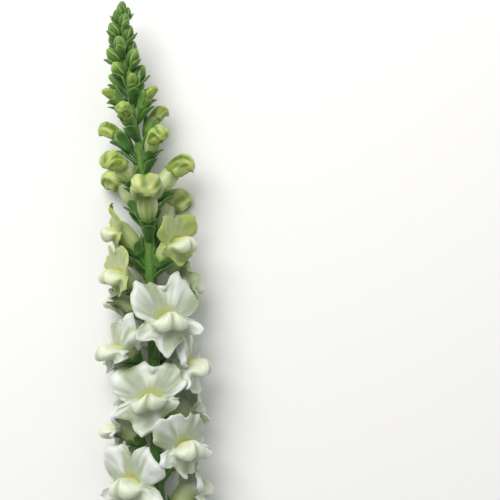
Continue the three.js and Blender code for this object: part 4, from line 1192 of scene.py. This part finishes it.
def fine_green_bud(flower, skin):
    """Young bud: five overlapping sepals round a point that is just showing."""
    n = flower.n
    turn = turns(BUD_COLUMNS, TOP)
    stalk = stalk_rows(flower, BUD_COLUMNS, at(STALK_RADIUS, n), 4)[:-1]
    p = np.linspace(0, 1, BUD_ROWS)[:, None]
    cell = (5 * turn / math.tau + 0.17 * n + 0.25 * p) % 1
    ridge = 0.07 * smooth(cell / 0.1) * mix(1, 0.5, cell) + 0.05 * bell(cell - 0.5, 0.12)
    swell = 1 + (ridge - 0.04) * np.sin(math.pi * np.clip(p * 1.02, 0, 1))
    wide = at(BUD_RADIUS, n) * at(BUD_OUTLINE, p) * swell
    grid = flower.squeezed(np.concatenate([stalk, flower.round(p * at(BUD_LENGTH, n), wide, turn)]))
    pale = bell(cell - 0.08, 0.09) * 0.95 + 0.65 * ramp(p, 0.6, 0.4) * (n / 15) + 0.1
    pale = pale + 0.25 * np.maximum(0, np.sin(20 * turn + 2 * n)) ** 3
    body = blend(TIP_GREEN, (TIP_PALE, pale),
                 # Painted shadow: a dark line just behind each sepal's overlapping edge.
                 (TIP_OVERLAP_SHADOW, 0.85 * (bell(cell - 0.93, 0.09) + bell(cell + 0.07, 0.05))),
                 (LIME, ramp(p, 0.8, 0.2) * ramp(n, 9, 5)))
    colours = np.concatenate([np.broadcast_to(TIP_GREEN, stalk.shape), body])
    skin.loft(grid[:-1], colours[:-1], turn * 10, (flower.frame.place(*STALK_ROOT), TIP_GREEN),
              (grid[-1].mean(0), colours[-1, 0]))


BRACT_ROWS = 22
BRACT_COLUMNS = 9
TIP_BRACT = [(0, 0.3), (0.2, 0.66), (0.4, 0.92), (0.55, 1), (0.72, 0.88), (0.88, 0.5), (1, 0.04)]
BRACT = [(0, 0.24), (0.14, 0.58), (0.28, 0.88), (0.42, 1), (0.62, 0.96), (0.8, 0.72), (0.92, 0.4),
         (1, 0.04)]


def there_and_back(across):
    """Positions across a blade's upper face and back across its lower face."""
    return np.concatenate([across, across[::-1]])


def fine_bract(flower, skin):
    """Leafy scale below the flower: an oval blade with a keel and a pale edge."""
    n = flower.n
    young = n < FIRST_COROLLA
    width = at(BRACT_WIDTH, n)
    p = np.linspace(0, 1, BRACT_ROWS)[:, None]
    outline = at(TIP_BRACT if young else BRACT, p)
    rooted = 1 - smooth(p / 0.3)
    away, along, angle = (mix(free, root, rooted) for free, root in
                          zip(bract_station(flower, p), (0.4, -BRACT_BELOW, TOP)))
    across = np.linspace(-1, 1, BRACT_COLUMNS)
    cup = 0.2 * width * outline * abs(across) ** 1.7
    twist = 0.06 * width * draw(n, 240) * across * p
    wave = 0.05 * width * np.sin(5 * p + n) * across ** 2
    keel = -0.16 * bell(across, 0.2)
    thick = mix(0.42, 0.2, abs(across)) * mix(1, 0.6, p)

    def face(offset):
        lift = cup + twist + wave + keel + offset
        return flower.frame.place(0.5 * width * outline * across, away - np.cos(angle) * lift,
                                  along + np.sin(angle) * lift)

    grid = flower.squeezed(np.concatenate([face(thick), face(-thick)[:, ::-1]], axis=1))
    around = there_and_back(across)
    pale = mix(0.12, 0.3, max(0, 1 - n / 16)) + 0.12 * draw(n, 241)
    dark, light = (TIP_GREEN, TIP_PALE) if young else (CALYX_DARK, CALYX_PALE)
    colours = blend(dark, (light, pale + 0.6 * around ** 4 + 0.35 * ramp(p, 0.85, 0.15)))
    skin.loft(grid, colours, around * 11, (flower.squeezed(flower.frame.place(*BRACT_ROOT)), dark),
              (grid[-1].mean(0), light))


STEM_COLUMNS = 40
STEM_ROW_STEP = 1.2
STEM_TOP = 0.8
SWOLLEN_FROM = 110
# The cut face from skin to pith: share of the way in, depth, colour.
CUT_RINGS = [(0.06, 0.02, CUT_GREEN), (0.2, 0.05, CUT_GREEN), (0.28, 0.06, VESSEL_GREEN),
             (0.36, 0.09, CUT_GREEN), (0.62, 0.16, PITH)]
CUT_DEPTH = 0.25


def stem_ring(length, joints):
    """One ring of the stem, softly ridged and swollen at its joints, and its colours."""
    here = Frame(length, 0)
    right = np.cross(here.out, here.along)
    turn = turns(STEM_COLUMNS)
    swell = 0.05 * bell(joints - length, 1.6).sum() if length > SWOLLEN_FROM else 0
    ridges = 0.022 * np.cos(6 * turn + 0.004 * length) + 0.012 * np.cos(11 * turn + 0.01 * length)
    radius = at(STEM_RADIUS, length) * (0.985 + ridges + swell)
    points = here.origin + radius[:, None] * (np.cos(turn)[:, None] * here.out
                                              + np.sin(turn)[:, None] * right)
    base = mix(STEM_HIGH, STEM_LOW, ramp(length, 60, 160))
    # Painted light and shade: the colour is lighter on the ridges and darker in the furrows between them.
    return points, base * (1 + 1.6 * ridges[:, None])


def fine_stem(skin):
    """The stalk itself, swollen where flowers and leaves grow, and cut square below."""
    count = round(STEM_LENGTH / STEM_ROW_STEP)
    joints = np.array(FLOWER_AT + [FIRST_LEAF_AT + LEAF_SPACING * k for k in range(LEAVES)])
    rings = [stem_ring(mix(STEM_TOP, STEM_LENGTH, i / count), joints) for i in range(count + 1)]
    grid, colours = (np.array(part) for part in zip(*rings))
    index = skin.sheet(grid, colours, turns(STEM_COLUMNS) * 12)
    skin.cap(index[0], Frame(0, 0).origin, STEM_HIGH)
    end = Frame(STEM_LENGTH, 0)
    face = [mix(grid[-1], end.origin, share) + depth * end.along for share, depth, _ in CUT_RINGS]
    tints = np.array([tint for _, _, tint in CUT_RINGS])[:, None]
    rim = skin.sheet(np.array(face), tints)
    skin.join(index[-1], rim[0])
    skin.cap(rim[-1], end.origin + CUT_DEPTH * end.along, PITH, last=True)
    return grid


# ---- leaves

LEAF_STATIONS = 10
LEAF_ROWS = 56
LEAF_COLUMNS = 17
LEAF_FLOOR = 0.25
THINNEST_BLADE = 0.05


def leaf_lines(index, length):
    """Midrib of a leaf and the directions ahead and to its side, at stations along it."""
    stem_at = FIRST_LEAF_AT + LEAF_SPACING * index
    free = FRONT_AZIMUTH + GOLDEN_ANGLE * (index + FLOWERS - FRONT_FLOWER)
    wrapped = (free + 180) % 360 - 180
    azimuth = math.copysign(min(abs(wrapped), LEAF_WIDEST_AZIMUTH - 8 * (index % 2)), wrapped)
    here = Frame(stem_at, azimuth)
    sink = mix(24, -34, smooth(here.out[2])) + 8 * draw(index, 91)
    away, along = at(STEM_RADIUS, stem_at) + SEAT_GAP, 0.0
    floor = LEAF_LOWEST + LEAF_SOFT
    midrib = []
    for i in range(LEAF_STATIONS + 1):
        t = i / LEAF_STATIONS
        angle = math.radians(LEAF_ANGLE + 6 * draw(index, 93) + sink * t)
        centre = here.place(0.05 * length * math.sin(3.4 * t + index) * t, away, along)
        if centre[2] < floor:
            centre[2] = LEAF_LOWEST + LEAF_SOFT * math.exp((centre[2] - floor) / LEAF_SOFT)
        midrib.append(centre)
        away += math.sin(angle) * length / LEAF_STATIONS
        along += math.cos(angle) * length / LEAF_STATIONS
    forward = unit(np.diff(midrib, axis=0))
    sides = []
    for i, ahead in enumerate(forward):
        level = unit(np.cross(ahead, (0, 0, 1)))
        if level @ here.side * math.copysign(1, here.out[2] + 0.2) < 0:
            level = -level
        side = mix(here.side, level, LEAF_LEVEL * smooth(1.8 * i / LEAF_STATIONS))
        sides.append(unit(side - ahead * (side @ ahead)))
    return np.array(midrib), np.vstack([forward, forward[-1:]]), np.array([*sides, sides[-1]])


def fine_leaf(index):
    """Lance-shaped leaf, folded along its midrib and waved, with ribs that slant to its edge."""
    length = at(LEAF_LENGTH, index) * (1 + 0.08 * draw(index, 90))
    width = at(LEAF_WIDTH, index)
    rows = np.linspace(0, 1, LEAF_ROWS)
    midrib, forward, sides = (spline(line, rows * LEAF_STATIONS) for line in leaf_lines(index, length))
    ahead, side = unit(forward), unit(sides)
    top = unit(np.cross(ahead, side))
    t = rows[:, None]
    across = np.linspace(-1, 1, LEAF_COLUMNS)
    blade = 0.5 * width * mix(0.16, 1, smooth(2.4 * t)) * np.maximum(0, 1 - t ** 2.4) ** 0.75
    blade = np.maximum(blade, THINNEST_BLADE)
    fold = LEAF_FOLD * blade * abs(across) ** 1.3
    wave = LEAF_WAVE * width * np.sin(7 * t + 2 * index) * t * across
    slant = np.cos(math.tau * (abs(across) * 5 - 14 * t))
    ribs = -0.1 * np.maximum(0, slant) ** 6 * (1 - abs(across)) - 0.3 * bell(across, 0.07)
    thick = mix(0.38, 0.2, abs(across)) * mix(1, 0.6, t)

    def face(sign):
        lift = fold + wave + ribs * 0.6 + sign * thick
        return (midrib[:, None] + side[:, None] * (blade * across)[..., None]
                + top[:, None] * lift[..., None])

    grid = np.concatenate([face(1), face(-1)[:, ::-1]], axis=1)
    grid[..., 2] = np.maximum(grid[..., 2], LEAF_FLOOR)
    around = there_and_back(across)
    veins = np.maximum(0, np.cos(math.tau * (abs(around) * 5 - 14 * t))) ** 8
    base = mix(LEAF_GREEN, LEAF_PALE, 0.25 + 0.15 * draw(index, 95))
    skin = Skin()
    skin.loft(grid, blend(base, (LEAF_PALE, 0.8 * bell(around, 0.09) + 0.3 * veins)),
              abs(around) * 30 - 80 * t, (grid[0].mean(0) - 0.1 * ahead[0], base),
              (grid[-1].mean(0), base))
    return skin


# ---- hairs

HAIRS = 5200
HAIR_SEED = 5
HAIR_LENGTH = 0.55
HAIR_RADIUS = 0.028
HAIR_DEPTH = 0.05


def fine_hairs(grid, skin):
    """Short glandular hairs that stand out of the stem's rings, at seeded places."""
    random = np.random.default_rng(HAIR_SEED)
    rows, columns = grid.shape[:2]
    row = random.uniform(2, rows - 3, HAIRS)
    column = random.uniform(0, columns, HAIRS)
    r, c = row.astype(int), column.astype(int)
    a, b = grid[r, c % columns], grid[r, (c + 1) % columns]
    d, e = grid[r + 1, c % columns], grid[r + 1, (c + 1) % columns]
    across = (column - c)[:, None]
    root = mix(mix(a, b, across), mix(d, e, across), (row - r)[:, None])
    normal = unit(np.cross(b - a, d - a))
    outward = ((root - grid[r].mean(1)) * normal).sum(-1, keepdims=True)
    normal = np.where(outward < 0, -normal, normal)
    lean = random.normal(0, 0.25, (HAIRS, 3))
    length = HAIR_LENGTH * random.uniform(0.6, 1.15, (HAIRS, 1))
    skin.spikes(root - HAIR_DEPTH * normal, root + (normal + lean) * length, HAIR_RADIUS, HAIR)


# ---- the whole stem

# The calyxes are two pieces, parted at this flower.
LOWER_CALYXES = 34


def make_green(name, grow, flowers):
    """One piece of all these flowers' green parts."""
    skin = Skin()
    for flower in flowers:
        grow(flower, skin)
    skin.make(name, GREEN, [], "stem_green")


def build_pieces():
    """All pieces of the stem, each for the nodes that it replaces."""
    flowers = grow_flowers()
    axis = Skin()
    grid = fine_stem(axis)
    axis.make("stem_axis", GREEN, ["stem"], "stem_green")
    make_green("bracts", fine_bract, flowers)
    make_green("green_buds", fine_green_bud, flowers[:FIRST_COROLLA])
    make_green("calyxes_upper", fine_calyx, flowers[FIRST_COROLLA:LOWER_CALYXES])
    make_green("calyxes_lower", fine_calyx, flowers[LOWER_CALYXES:])
    coat = Skin()
    fine_hairs(grid, coat)
    coat.make("stem_hairs", GREEN, [], "stem_green")
    for flower in flowers[FIRST_COROLLA:FIRST_OPENING]:
        name = "%02d" % flower.n
        fine_closed_corolla(flower).make("corolla_" + name, PETAL, ["bud_" + name], "young_petal")
    for flower in flowers[FIRST_OPENING:]:
        name = "%02d" % flower.n
        fine_open_corolla(flower).make("corolla_" + name, PETAL, ["bloom_" + name], "white_petal")
    for index in range(LEAVES):
        name = "%02d" % (index + 1)
        fine_leaf(index).make("blade_" + name, LEAF, ["leaf_" + name], "leaf_green")


# ---- camera, lights and floor, in metres

VIEW_CENTRE = ((50 - MIDDLE[0]) * MM, (101 - MIDDLE[1]) * MM)
VIEW_WIDTH = 0.25
AXIS_HEIGHT = 0.0215
CAMERA_DISTANCE = 0.9
SENSOR = 36
LIT_POINT = (0, 0.05, 0.02)
# Name, place, width, power and colour of each soft light.
LIGHTS = [("key", (-0.38, 0.85, 1.05), 1.0, 16.5, (1, 0.985, 0.96)),
          ("fill", (0.7, 0.1, 0.9), 0.9, 0.8, (0.97, 0.985, 1))]
WORLD_LIGHT = 0.36
FLOOR_REACH = 2.5


def add_object(name, data):
    """Object in the scene."""
    thing = bpy.data.objects.new(name, data)
    bpy.context.scene.collection.objects.link(thing)
    return thing


def build_lights():
    """Soft studio light from two discs and an even world."""
    for name, place, width, power, colour in LIGHTS:
        light = bpy.data.lights.new(name, "AREA")
        light.shape = "DISK"
        light.size = width
        light.energy = power
        light.color = colour
        lamp = add_object(name, light)
        lamp.location = place
        lamp.rotation_mode = "QUATERNION"
        lamp.rotation_quaternion = (Vector(LIT_POINT) - Vector(place)).to_track_quat("-Z", "Y")
    world = bpy.data.worlds.new("studio")
    world.use_nodes = True
    fill(world.node_tree.nodes["Background"], {"Color": (1, 1, 1, 1), "Strength": WORLD_LIGHT})
    bpy.context.scene.world = world
    bpy.context.scene.view_settings.view_transform = "Standard"


def build_camera():
    """Camera that looks straight down, in the photograph's frame."""
    camera = bpy.data.cameras.new("camera")
    camera.sensor_width = SENSOR
    camera.lens = SENSOR * CAMERA_DISTANCE / VIEW_WIDTH
    camera.clip_start = 0.05
    camera.clip_end = 20
    eye = add_object("camera", camera)
    eye.location = (*VIEW_CENTRE, AXIS_HEIGHT + CAMERA_DISTANCE)
    bpy.context.scene.camera = eye


def build_floor():
    """Plain pale floor, which is no part of the model."""
    mesh = bpy.data.meshes.new("floor")
    r = FLOOR_REACH
    mesh.from_pydata([(-r, -r, 0), (r, -r, 0), (r, r, 0), (-r, r, 0)], [], [(0, 1, 2, 3)])
    material, _ = new_material("pale_floor", {"Base Color": (0.97, 0.97, 0.97, 1), "Roughness": 0.9,
                                              "Specular IOR Level": 0.1})
    mesh.materials.append(material)
    floor = add_object("floor", mesh)


build_camera()
build_lights()
build_floor()
build_pieces()
